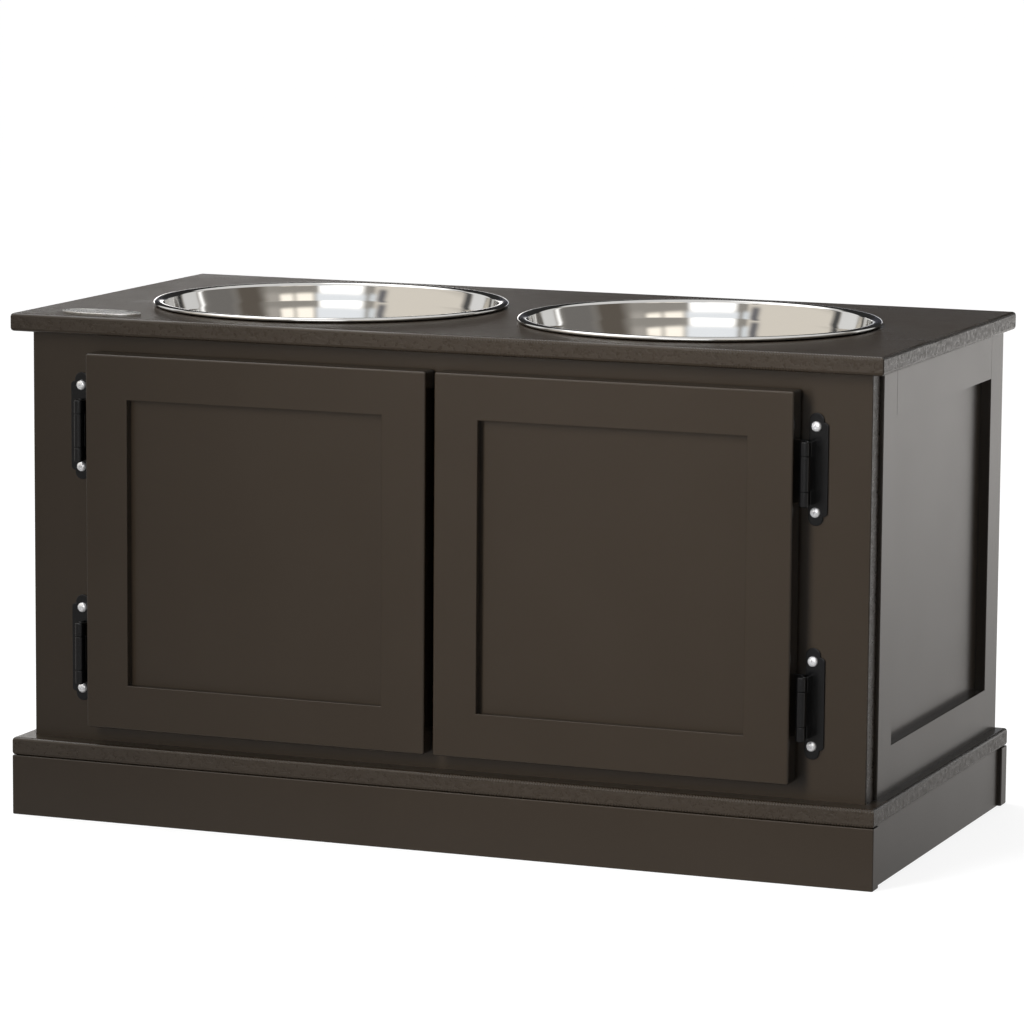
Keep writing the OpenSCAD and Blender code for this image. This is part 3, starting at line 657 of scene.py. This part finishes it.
def framed_panel(prefix, body, stiles, rails, faces, outer, ends, rabbet=None):
    """The stiles and rails round a framed panel. stiles gives the side that each stile stands on and
    its name, the left or the front one first. faces gives the most that the edges of the two broad
    sides are eased, and outer and ends the most that the frame's own upright and level edges are.
    Each rail reaches into the stiles by as much as their inner edges are eased. rabbet is the inner
    corner of the second stile's rabbet."""
    near, far = stiles
    across = SIDES[near][0]
    for side, other in ((near, far), (far, near)):
        board(f"{prefix}_stile_{stiles[side]}", body,
              {side: outer, other: PANEL_SIDE_EDGE, "top": ends, "bottom": ends, **faces},
              rabbet=rabbet if side == far else None)
    reach = {
        near: box_mm(f"{prefix}_stile_{stiles[near]}")[1][across] - PANEL_SIDE_EDGE,
        far: box_mm(f"{prefix}_stile_{stiles[far]}")[0][across] + PANEL_SIDE_EDGE}
    for end in rails:
        other = "bottom" if end == "top" else "top"
        board(f"{prefix}_rail_{end}", body,
              {end: ends, other: PANEL_SIDE_EDGE, near: JOINT_EDGE, far: JOINT_EDGE, **faces}, reach)


def bowl_centre(bowl):
    """Where a bowl's middle stands on the level, in mm."""
    low, high = box_mm(bowl)
    return Vector(((low.x + high.x) / 2, (low.y + high.y) / 2))


def slice_square(shape, centre, half):
    """Cuts a board along the four sides of a square."""
    for axis in (0, 1):
        for end in (-1, 1):
            normal = [0, 0, 0]
            normal[axis] = 1
            place = [centre.x, centre.y, 0]
            place[axis] += end * half
            bmesh.ops.bisect_plane(
                shape, geom=list(shape.verts) + list(shape.edges) + list(shape.faces),
                plane_co=place, plane_no=normal, dist=MERGE_REACH)


def cut_round_hole(shape, centre, half):
    """Swaps the square of faces on both sides of a board for faces round a hole, and lines it."""
    def in_square(face):
        away = face.calc_center_median().xy - centre
        return is_level(face) and max(abs(away.x), abs(away.y)) < half

    squares = [face for face in shape.faces if in_square(face)]
    outlines = {face.calc_center_median().z: list(face.edges) for face in squares}
    bmesh.ops.delete(shape, geom=squares, context="FACES_ONLY")
    circles = []
    for level, edges in outlines.items():
        split = bmesh.ops.subdivide_edges(shape, edges=edges, cuts=HOLE_POINTS // 4 - 1)["geom_split"]
        circle = bmesh.ops.create_circle(
            shape, segments=HOLE_POINTS, radius=HOLE_RADIUS, cap_ends=False,
            matrix=Matrix.Translation((centre.x, centre.y, level)))["verts"]
        ring = list({e for v in circle for e in v.link_edges})
        square = [e for e in split if isinstance(e, bmesh.types.BMEdge)]
        bmesh.ops.bridge_loops(shape, edges=square + ring)
        circles += ring
    bmesh.ops.bridge_loops(shape, edges=circles)


def on_circle(edge, centre):
    """Whether both ends of an edge lie on a bowl hole's circle."""
    return all(abs((v.co.xy - centre).length - HOLE_RADIUS) < SAME_PLACE for v in edge.verts)


def make_top_board():
    """The top board, with the two bowl holes and all outer edges rounded."""
    low, high = box_mm("top_board")
    centres = [bowl_centre(bowl) for bowl in ("bowl_left", "bowl_right")]
    half = HOLE_RADIUS + HOLE_MARGIN
    shape = bmesh.new()
    add_box(shape, low, high)
    for centre in centres:
        slice_square(shape, centre, half)
    for centre in centres:
        cut_round_hole(shape, centre, half)
    bmesh.ops.recalc_face_normals(shape, faces=shape.faces)

    def radius_of(edge):
        sides = sides_of(edge, low, high)
        if len(sides) == 2:
            return SHEET_EDGE if {"top", "bottom"} & set(sides) else BOARD_EDGE
        level = abs(edge.verts[0].co.z - edge.verts[1].co.z) < SAME_PLACE
        return HOLE_EDGE if level and any(on_circle(edge, centre) for centre in centres) else SHARP

    coarsen(shape, low, high, CUT_EDGES)
    largest = weigh_edges(shape, radius_of)
    made = piece("top_board", to_mesh(shape, "top_board"), "cabinet", "brown_paint",
                 TOP_PAINT, ARRIS_PAINT, EDGE_PAINT)
    ease(made, largest).material = ARRIS_SLOT


def make_base():
    """The base board and the skirt under it."""
    board("base_board", "cabinet", {"top": SHEET_EDGE, "bottom": SHEET_EDGE},
          upright=BOARD_EDGE, paint=TOP_PAINT, coarse=CUT_EDGES)
    level = {"top": BOARD_EDGE, "bottom": BOARD_EDGE}
    for name in ("skirt_front", "skirt_back"):
        board(name, "cabinet", {"left": BOARD_EDGE, "right": BOARD_EDGE, **level})
    for name in ("skirt_left", "skirt_right"):
        board(name, "cabinet", {"front": SHARP, "back": SHARP, **level})


def make_face_frame():
    """The frame round the doorway: two stiles, and two rails between them."""
    for side, other in (("left", "right"), ("right", "left")):
        eased = {side: BOARD_EDGE, other: PANEL_SIDE_EDGE, "back": PANEL_SIDE_EDGE}
        board("face_stile_" + side, "cabinet", {"top": SHARP, "bottom": SHARP, **eased}, coarse=(side,))
    for end, other in (("top", "bottom"), ("bottom", "top")):
        low, high = box_mm("face_rail_" + end)
        eased = {end: SHARP, other: PANEL_SIDE_EDGE, "back": PANEL_SIDE_EDGE}
        board("face_rail_" + end, "cabinet", {"left": SHARP, "right": SHARP, **eased},
              {"left": low.x - PANEL_SIDE_EDGE, "right": high.x + PANEL_SIDE_EDGE})


def make_panels():
    """The frames of both doors and both sides. The sides' top rails stay the CAD's own, because the
    bores for their cam locks show inside."""
    low, high = box_mm("back_board")
    for side, other, end in (("left", "right", low.x - BACK_GAP), ("right", "left", high.x + BACK_GAP)):
        names = {side: "outer", other: "inner"}
        framed_panel("door_" + side, "door_" + side, {key: names[key] for key in ("left", "right")},
                     ("top", "bottom"), {"front": NO_LIMIT, "back": BOARD_EDGE}, DOOR_EDGE, DOOR_EDGE)
        framed_panel("side_" + side, "cabinet", {"front": "front", "back": "rear"},
                     ("bottom",), {"left": BOARD_EDGE, "right": BOARD_EDGE}, BOARD_EDGE, SHARP,
                     rabbet=Vector((end, low.y - BACK_GAP)))


# ---------------------------------------------------------------- bowls

def wall_curve(r, high, low):
    """A stretch of bowl wall that starts steep and leans out of upright as it goes down."""
    points = [(r, high)]
    drop = (high - low) / WALL_STEPS
    for i in range(WALL_STEPS):
        lean = WALL_STEEP + (WALL_FLAT - WALL_STEEP) * (i + 0.5) / WALL_STEPS
        r -= drop * math.tan(math.radians(lean))
        points.append((r, high - drop * (i + 1)))
    return points


def bowl_profile():
    """The bowl's closed section, from the middle of its inside, round the bead, to the middle below."""
    bead_x = BOWL_RIM_R - BEAD_OUT
    floor = -BOWL_DEPTH + BOWL_SHEET
    wall_r = bead_x - BEAD_IN
    wall_top = 2 * BEAD_HALF_H - BEAD_IN_DROP
    upper = wall_curve(wall_r, wall_top, WALL_RIDGE)
    lower = wall_curve(upper[-1][0], WALL_RIDGE, WALL_FADE)
    corner_z = BOWL_CURVE_R - BOWL_DEPTH
    inside = [(0, floor)]
    inside += [(BOWL_RING_R + away, floor + BOWL_RING_H * up) for away, up in BOWL_RING]
    inside += arc(BOWL_BOTTOM_R, corner_z, BOWL_CURVE_R - BOWL_SHEET, -90, 0, CORNER_STEPS)
    inside += lower[::-1] + upper[::-1][1:]
    inside += arc(bead_x, wall_top, BEAD_IN, 180, 90, LIP_STEPS, BEAD_IN_DROP / BEAD_IN)[1:-1]
    bead = arc(bead_x, BEAD_HALF_H, BEAD_OUT, 90, -180, BEAD_STEPS, BEAD_HALF_H / BEAD_OUT)
    outside = [(wall_r + BOWL_SHEET, 0)]
    outside += arc(BOWL_BOTTOM_R, corner_z, BOWL_CURVE_R, 0, -90, CORNER_STEPS)
    outside += [(0, -BOWL_DEPTH)]
    return inside + bead + outside


def make_bowl(side):
    """A spun steel bowl with a rolled rim."""
    name = "bowl_" + side
    shape = bmesh.new()
    revolve(shape, bowl_profile(), BOWL_STEPS)
    bottom = min(v.co.z for v in shape.verts)
    bmesh.ops.translate(shape, vec=(*bowl_centre(name), box_mm(name)[0].z - bottom), verts=shape.verts)
    piece(name, to_mesh(shape, name), name, "bowl_steel", BOWL_STEEL)


# ---------------------------------------------------------------- hinges

def leaf_outline():
    """The frame leaf seen from the front: two round ears and a straight wing outwards."""
    ear_z = LEAF_LEN / 2 - EAR_R
    wing = WING_LEN / 2
    points = arc(EAR_OUT, -ear_z, EAR_R, 180, 360, 12)
    points += [(EAR_OUT + EAR_R, -wing), (WING_OUT - WING_CUT, -wing), (WING_OUT, WING_CUT - wing)]
    return points + [(x, -z) for x, z in reversed(points)]


def curl(shape, outward, low, high):
    """Rolls sheet metal round the pin, from a strip beside it: outwards where outward is 1."""
    inner, outer = outward * (KNUCKLE_R - LEAF_THICK), outward * KNUCKLE_R
    edge = [(inner, low), (outer, low), (outer, high), (inner, high)]
    start = shape.faces.new([shape.verts.new((x, 0, z)) for x, z in edge])
    bmesh.ops.spin(shape, geom=[start, *start.edges, *start.verts], cent=(0, 0, 0), axis=(0, 0, 1),
                   dvec=(0, 0, 0), angle=math.radians(-outward * CURL_TURN), steps=CURL_STEPS,
                   use_merge=False, use_duplicate=False)


def put_hinge(shape, name, body, axis, level, left):
    """Moves a hinge leaf from the pin axis to its place, mirrored for the left door."""
    bmesh.ops.remove_doubles(shape, verts=shape.verts, dist=SAME_PLACE)
    if left:
        bmesh.ops.scale(shape, vec=(-1, 1, 1), verts=shape.verts)
    bmesh.ops.recalc_face_normals(shape, faces=shape.faces)
    bmesh.ops.translate(shape, vec=(axis.x, axis.y, level), verts=shape.verts)
    made = piece(name, to_mesh(shape, name), body, "hinge_black", HINGE_BLACK)
    ease(made, LEAF_EDGE, weighted=False, segments=FINE_STEPS)


def make_frame_leaf(side, level_name, axis, leaf_z, drop):
    """The leaf screwed to the face frame, with its web and the middle knuckle."""
    half = BARREL_LEN / 2
    middle = MIDDLE_KNUCKLE / 2
    web_in = KNUCKLE_R - LEAF_THICK
    web_back = HINGE_REACH - LEAF_LAP
    clear = KNUCKLE_R + 2 * KNUCKLE_GAP
    shape = bmesh.new()
    front = HINGE_REACH - LEAF_THICK
    add_prism(shape, [(x, front, z) for x, z in leaf_outline()], (0, LEAF_THICK, 0))
    add_box(shape, (web_in, 0, -middle - drop), (KNUCKLE_R, web_back, middle - drop))
    for low, high in ((-half, -middle), (middle, half)):
        add_box(shape, (web_in, clear, low - drop), (KNUCKLE_R, web_back, high - drop))
    curl(shape, 1, -middle - drop, middle - drop)
    put_hinge(shape, f"frame_leaf_{side}_{level_name}", "cabinet", axis, leaf_z, side == "left")


def make_door_leaf(side, level_name, axis, barrel_z):
    """The leaf screwed behind the door, with the two end knuckles."""
    name = f"door_leaf_{side}_{level_name}"
    low, high = box_mm(name)
    inward = (high.x - axis.x) if side == "left" else (axis.x - low.x)
    back = HINGE_REACH - DOOR_STAND_OFF
    half = BARREL_LEN / 2
    middle = MIDDLE_KNUCKLE / 2 + KNUCKLE_GAP
    web_in = LEAF_THICK - KNUCKLE_R
    web_back = back + LEAF_LAP
    clear = KNUCKLE_R + 2 * KNUCKLE_GAP
    shape = bmesh.new()
    add_box(shape, (-inward, back, -half), (web_in, back + LEAF_THICK, half))
    for start, end in ((-half, -middle), (middle, half)):
        add_box(shape, (-KNUCKLE_R, 0, start), (web_in, web_back, end))
        curl(shape, -1, start, end)
    add_box(shape, (-KNUCKLE_R, clear, -middle), (web_in, web_back, middle))
    put_hinge(shape, name, "door_" + side, axis, barrel_z, side == "left")


def make_pins(side, axis, levels):
    """The two hinge pins of one door, each with a domed cap at both ends."""
    half = BARREL_LEN / 2
    ball = KNUCKLE_R * CAP_DOME
    sink = math.sqrt(ball * ball - KNUCKLE_R * KNUCKLE_R)
    cap = math.degrees(math.asin(KNUCKLE_R / ball))
    dome = [(x, z + half - sink) for x, z in arc(0, 0, ball, 90, 90 - cap, CAP_STEPS)]
    dome += [(KNUCKLE_R * CAP_FOOT, half - CAP_RIM), (PIN_R, half - CAP_RIM)]
    profile = dome + [(x, -z) for x, z in reversed(dome)]
    shape = bmesh.new()
    revolve(shape, profile, PIN_STEPS)
    one = shape.verts[:] + shape.edges[:] + shape.faces[:]
    copy = bmesh.ops.duplicate(shape, geom=one)["geom"]
    bmesh.ops.translate(shape, vec=(0, 0, levels[1] - levels[0]),
                        verts=[v for v in copy if isinstance(v, bmesh.types.BMVert)])
    bmesh.ops.translate(shape, vec=(axis.x, axis.y, levels[0]), verts=shape.verts)
    name = "hinge_pins_" + side
    piece(name, to_mesh(shape, name), "door_" + side, "hinge_black", HINGE_BLACK)


def screw_mesh():
    """One pan-head screw with a cross recess, its head's underside at the origin, shank down -Z."""
    shape = bmesh.new()
    profile = [(PAN_HEAD_R * out, PAN_HEAD_H * up) for out, up in PAN_OUTLINE]
    profile += [(PAN_SHANK_R, 0), (PAN_SHANK_R, PAN_TIP_LEN - PAN_SCREW_LEN), (0, -PAN_SCREW_LEN)]
    revolve(shape, profile, PAN_STEPS)
    head = bpy.data.objects.new("screw_head", to_mesh(shape, "screw_head"))
    cross = bmesh.new()
    arm = PAN_HEAD_R * RECESS_ARM
    for turn in (0, 90):
        verts = bmesh.ops.create_cone(
            cross, cap_ends=True, segments=4, depth=PAN_HEAD_H,
            radius1=arm * RECESS_FOOT, radius2=arm * RECESS_MOUTH,
            matrix=Matrix.Rotation(math.radians(45), 4, "Z"))["verts"]
        turned = Matrix.Rotation(math.radians(turn), 3, "Z")
        bmesh.ops.scale(cross, vec=(1, RECESS_SLIM, 1), verts=verts)
        bmesh.ops.rotate(cross, cent=(0, 0, 0), matrix=turned, verts=verts)
        bmesh.ops.translate(cross, vec=(0, 0, PAN_HEAD_H * RECESS_LEVEL), verts=verts)
    cutter = bpy.data.objects.new("recess", to_mesh(cross, "recess"))
    for made in (head, cutter):
        bpy.context.scene.collection.objects.link(made)
    cut = head.modifiers.new("recess", "BOOLEAN")
    cut.operation = "DIFFERENCE"
    cut.solver = "EXACT"
    cut.use_self = True
    cut.object = cutter
    graph = bpy.context.evaluated_depsgraph_get()
    mesh = bpy.data.meshes.new_from_object(head.evaluated_get(graph))
    for made in (head, cutter):
        bpy.data.objects.remove(made)
    return mesh


def make_screws(screw, name, body, places, facing):
    """Copies of a screw at places in mm, each turned differently. Their heads face back where facing
    is 1, and to the front where it is -1."""
    shape = bmesh.new()
    for i, place in enumerate(places):
        one = bmesh.new()
        one.from_mesh(screw)
        bmesh.ops.scale(one, vec=(1 / MM,) * 3, verts=one.verts)
        laid = Matrix.Rotation(math.radians(-90 * facing), 4, "X")
        turned = laid @ Matrix.Rotation(i * SCREW_TURN, 4, "Z")
        bmesh.ops.transform(one, matrix=Matrix.Translation(place) @ turned, verts=one.verts)
        mesh = bpy.data.meshes.new("one")
        one.to_mesh(mesh)
        one.free()
        shape.from_mesh(mesh)
        bpy.data.meshes.remove(mesh)
    mesh = to_mesh(shape, name)
    mesh.set_sharp_from_angle(angle=math.radians(SCREW_SHARP))
    piece(name, mesh, body, "zinc_plate", ZINC_PLATE)


def make_hinges():
    """Both hinges of both doors, with their pins and screws."""
    screw = screw_mesh()
    ear_places = []
    for side, outward in (("left", -1), ("right", 1)):
        low, high = box_mm("hinge_pins_" + side)
        axis = (low + high) / 2
        ear_x = axis.x + outward * EAR_OUT
        ear_y = axis.y + HINGE_REACH - LEAF_THICK
        low, high = box_mm("door_leaf_screws_" + side)
        door_x = (low.x + high.x) / 2
        door_y = high.y - PAN_HEAD_H
        door_places = []
        barrels = []
        for level_name in ("upper", "lower"):
            leaf_z = sum(corner.z for corner in box_mm(f"frame_leaf_{side}_{level_name}")) / 2
            barrel_z = sum(corner.z for corner in box_mm(f"door_leaf_{side}_{level_name}")) / 2
            barrels.append(barrel_z)
            make_frame_leaf(side, level_name, axis, leaf_z, leaf_z - barrel_z)
            make_door_leaf(side, level_name, axis, barrel_z)
            for up in (-1, 1):
                ear_places.append((ear_x, ear_y, leaf_z + up * EAR_PITCH / 2))
                door_places.append((door_x, door_y, barrel_z + up * DOOR_SCREW_UP))
        make_pins(side, axis, barrels)
        make_screws(screw, "door_leaf_screws_" + side, "door_" + side, door_places, 1)
    make_screws(screw, "frame_leaf_screws", "cabinet", ear_places, -1)


# ---------------------------------------------------------------- plate

def make_plate():
    """The plain oval plate with a thin raised rim."""
    low, high = box_mm("blank_plate")
    width, depth = high.x - low.x, high.y - low.y
    centre = (low + high) / 2
    shape = bmesh.new()
    oval = arc(0, 0, width / 2, 0, 360, PLATE_POINTS, depth / width)[:-1]
    add_prism(shape, [(x, y, 0) for x, y in oval], (0, 0, high.z - low.z))
    top = max(filter(is_level, shape.faces), key=lambda face: face.calc_center_median().z)
    bmesh.ops.inset_region(shape, faces=[top], thickness=PLATE_RIM_W, depth=0)
    bmesh.ops.inset_region(shape, faces=[top], thickness=PLATE_RIM_H, depth=-PLATE_RIM_H)
    bmesh.ops.recalc_face_normals(shape, faces=shape.faces)
    bmesh.ops.translate(shape, vec=(centre.x, centre.y, low.z), verts=shape.verts)
    made = piece("blank_plate", to_mesh(shape, "blank_plate"), "cabinet", "plate_steel", PLATE_STEEL)
    ease(made, PLATE_EDGE, weighted=False, segments=FINE_STEPS)


# ---------------------------------------------------------------- carried-over CAD nodes

CAD_FINISH = {
    "brown_paint": FACE_PAINT, "bowl_steel": BOWL_STEEL, "plate_steel": PLATE_STEEL,
    "zinc_plate": ZINC_PLATE, "hinge_black": HINGE_BLACK, "raw_wood": RAW_WOOD}


def finish_cad_nodes():
    """Gives each CAD node that still shows the finish of its own material slot."""
    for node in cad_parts.values():
        if node.hide_render:
            continue
        slot = node.data.materials[0].name.split(".")[0] if node.data.materials else "brown_paint"
        node.data.materials.clear()
        node.data.materials.append(CAD_FINISH.get(slot, FACE_PAINT))


# ---------------------------------------------------------------- camera, floor and light

def make_camera():
    """The camera, at the photograph's viewing angle."""
    lens = bpy.data.cameras.new("camera")
    lens.lens = CAMERA_LENS
    lens.sensor_width = FILM_WIDTH
    lens.clip_start, lens.clip_end = CAMERA_CLIP
    camera = bpy.data.objects.new("camera", lens)
    bpy.context.scene.collection.objects.link(camera)
    turn = (Matrix.Rotation(math.radians(CAMERA_YAW), 4, "Z")
            @ Matrix.Rotation(math.radians(90 - CAMERA_PITCH), 4, "X")
            @ Matrix.Rotation(math.radians(CAMERA_ROLL), 4, "Z"))
    camera.matrix_world = Matrix.Translation(CAMERA_AT) @ turn
    bpy.context.scene.camera = camera


def seen_rays(tree):
    """1 for camera, glossy and transmission rays, 0 for the light that falls on the object."""
    path = add_node(tree, "ShaderNodeLightPath").outputs
    shiny = math_node(tree, "MAXIMUM", path["Is Glossy Ray"], path["Is Transmission Ray"])
    return math_node(tree, "MAXIMUM", path["Is Camera Ray"], shiny)


def painted_floor_reflection(tree):
    """Painted reflection: how bright the floor looks to shiny surfaces, set by place along Y rather
    than
    by the lamps: dim in front of the object, brighter behind it.
    """
    place = add_node(tree, "ShaderNodeTexCoord").outputs["Object"]
    along = add_node(tree, "ShaderNodeSeparateXYZ", {0: place}).outputs["Y"]
    front, beside, behind = FLOOR_LEVELS_Y
    level = remap(tree, along, front, beside, FLOOR_FRONT, FLOOR_BESIDE)
    return math_node(tree, "ADD", level, remap(tree, along, beside, behind, 0.0, FLOOR_BEHIND))


def floor_white_with_painted_shade(tree):
    """How white the floor shows to the camera, with painted shade where something stands close to it.
    """
    opened = add_node(tree, "ShaderNodeAmbientOcclusion", {"Distance": SHADE_REACH}, samples=8)
    return remap(tree, opened.outputs["AO"], 0.0, 1.0, CAMERA_WHITE * SHADED_WHITE, CAMERA_WHITE)


def make_floor():
    """A plain pale floor that shows white to the camera. It keeps the object's shadow, partly as the
    lamps' real shadow and partly as painted shade from ambient occlusion; shiny surfaces see a painted
    reflection.
    """
    shape = bmesh.new()
    bmesh.ops.create_grid(shape, x_segments=4, y_segments=4, size=FLOOR_HALF)
    floor = bpy.data.objects.new("floor", to_mesh(shape, "floor"))
    bpy.context.scene.collection.objects.link(floor)
    material, tree, shader = new_material("pale_floor", roughness=1.0, specular_ior_level=0.0)
    path = add_node(tree, "ShaderNodeLightPath").outputs
    level = remap(tree, seen_rays(tree), 0.0, 1.0, FLOOR_PALE, 1.0)
    paleness = add_node(tree, "ShaderNodeCombineColor", {"Red": level, "Green": level, "Blue": level})
    tree.links.new(paleness.outputs[0], shader.inputs["Base Color"])
    # The camera's white carries painted shade from ambient occlusion near the object
    emitted = add_node(tree, "ShaderNodeEmission", {"Color": (1, 1, 1, 1), "Strength": floor_white_with_painted_shade(tree)})
    share = math_node(tree, "MULTIPLY", path["Is Camera Ray"], CAMERA_SHARE)
    seen = add_node(tree, "ShaderNodeMixShader", {0: share, 1: shader.outputs[0], 2: emitted.outputs[0]})
    # Shiny surfaces see a painted reflection of the floor, brighter behind the object than in front
    brightness = painted_floor_reflection(tree)
    mirrored = add_node(tree, "ShaderNodeEmission", {"Color": FLOOR_TINT, "Strength": brightness})
    both = add_node(tree, "ShaderNodeMixShader", {
        0: path["Is Glossy Ray"], 1: seen.outputs[0], 2: mirrored.outputs[0]})
    tree.links.new(both.outputs[0], tree.nodes["Material Output"].inputs["Surface"])
    floor.data.materials.append(material)


def make_world():
    """A white backdrop that lights the object softly."""
    world = bpy.data.worlds.new("studio")
    bpy.context.scene.world = world
    world.use_nodes = True
    tree = world.node_tree
    backdrop = tree.nodes["Background"]
    backdrop.inputs["Color"].default_value = (1, 1, 1, 1)
    level = remap(tree, seen_rays(tree), 0.0, 1.0, WORLD_LIGHT, 1.0)
    tree.links.new(level, backdrop.inputs["Strength"])


def covers(value, low, high, blur):
    """How far a value lies inside a range with soft ends, from 0 to 1."""
    rise = min(max((value - low) / blur + 0.5, 0), 1)
    fall = min(max((high - value) / blur + 0.5, 0), 1)
    return rise * fall


def painted_reflection_glow(azimuth, height):
    """The painted reflection that the polished metal sees in one direction, as a colour."""
    shade = Vector(PAINTED_REFLECTION_BASE)
    for left, right, low, high, blur, blur_up, glow in PAINTED_REFLECTION_PANELS:
        off_middle = (azimuth - (left + right) / 2 + 180) % 360 - 180
        reach = (right - left) / 2
        share = covers(off_middle, -reach, reach, blur) * covers(height, low, high, blur_up)
        shade = shade.lerp(Vector(glow), share)
    return (*shade, 1)


def make_painted_reflections():
    """A dome of painted reflections that only shiny surfaces see: walls, windows and ceiling."""
    shape = bmesh.new()
    revolve(shape, arc(0, 0, ROOM_RADIUS, ROOM_FOOT, 90, ROOM_RISE_STEPS), ROOM_STEPS)
    glow = shape.verts.layers.float_color.new("glow")
    for vert in shape.verts:
        azimuth = math.degrees(math.atan2(vert.co.x, -vert.co.y)) - ROOM_TURN
        height = math.degrees(math.asin(vert.co.z / ROOM_RADIUS))
        vert[glow] = painted_reflection_glow(azimuth, height)
    bmesh.ops.translate(shape, verts=shape.verts, vec=(0, 0, box_mm("top_board")[1].z))
    room = bpy.data.objects.new("room", to_mesh(shape, "room"))
    bpy.context.scene.collection.objects.link(room)
    material, tree, _ = new_material("painted_reflection_glow")
    colour = add_node(tree, "ShaderNodeAttribute", attribute_name="glow").outputs["Color"]
    emitted = add_node(tree, "ShaderNodeEmission", {"Color": colour})
    tree.links.new(emitted.outputs[0], tree.nodes["Material Output"].inputs["Surface"])
    room.data.materials.append(material)
    room.visible_camera = False
    room.visible_diffuse = False
    room.visible_shadow = False
    room.visible_transmission = False


def make_lamp(name, place, aim, size, power, spread):
    """A softbox at a place that faces a point and throws its light within a spread. It only lights:
    what shiny surfaces see of it is a painted reflection on the dome."""
    light = bpy.data.lights.new(name, "AREA")
    light.shape = "RECTANGLE"
    light.size, light.size_y = size
    light.energy = power
    light.spread = math.radians(spread)
    lamp = bpy.data.objects.new(name, light)
    bpy.context.scene.collection.objects.link(lamp)
    lamp.location = place
    lamp.rotation_mode = "QUATERNION"
    lamp.rotation_quaternion = (Vector(place) - Vector(aim)).to_track_quat("Z", "Y")
    lamp.visible_camera = False
    lamp.visible_glossy = False


def make_light():
    """Soft light from a tall box in front at the left, a wide one overhead and one at the side."""
    make_world()
    make_painted_reflections()
    for lamp in LAMPS:
        make_lamp(*lamp)


make_camera()
make_top_board()
make_base()
make_face_frame()
make_panels()
for bowl_side in ("left", "right"):
    make_bowl(bowl_side)
make_hinges()
make_plate()
finish_cad_nodes()
make_floor()
make_light()

bpy.context.scene.view_settings.view_transform = "Standard"
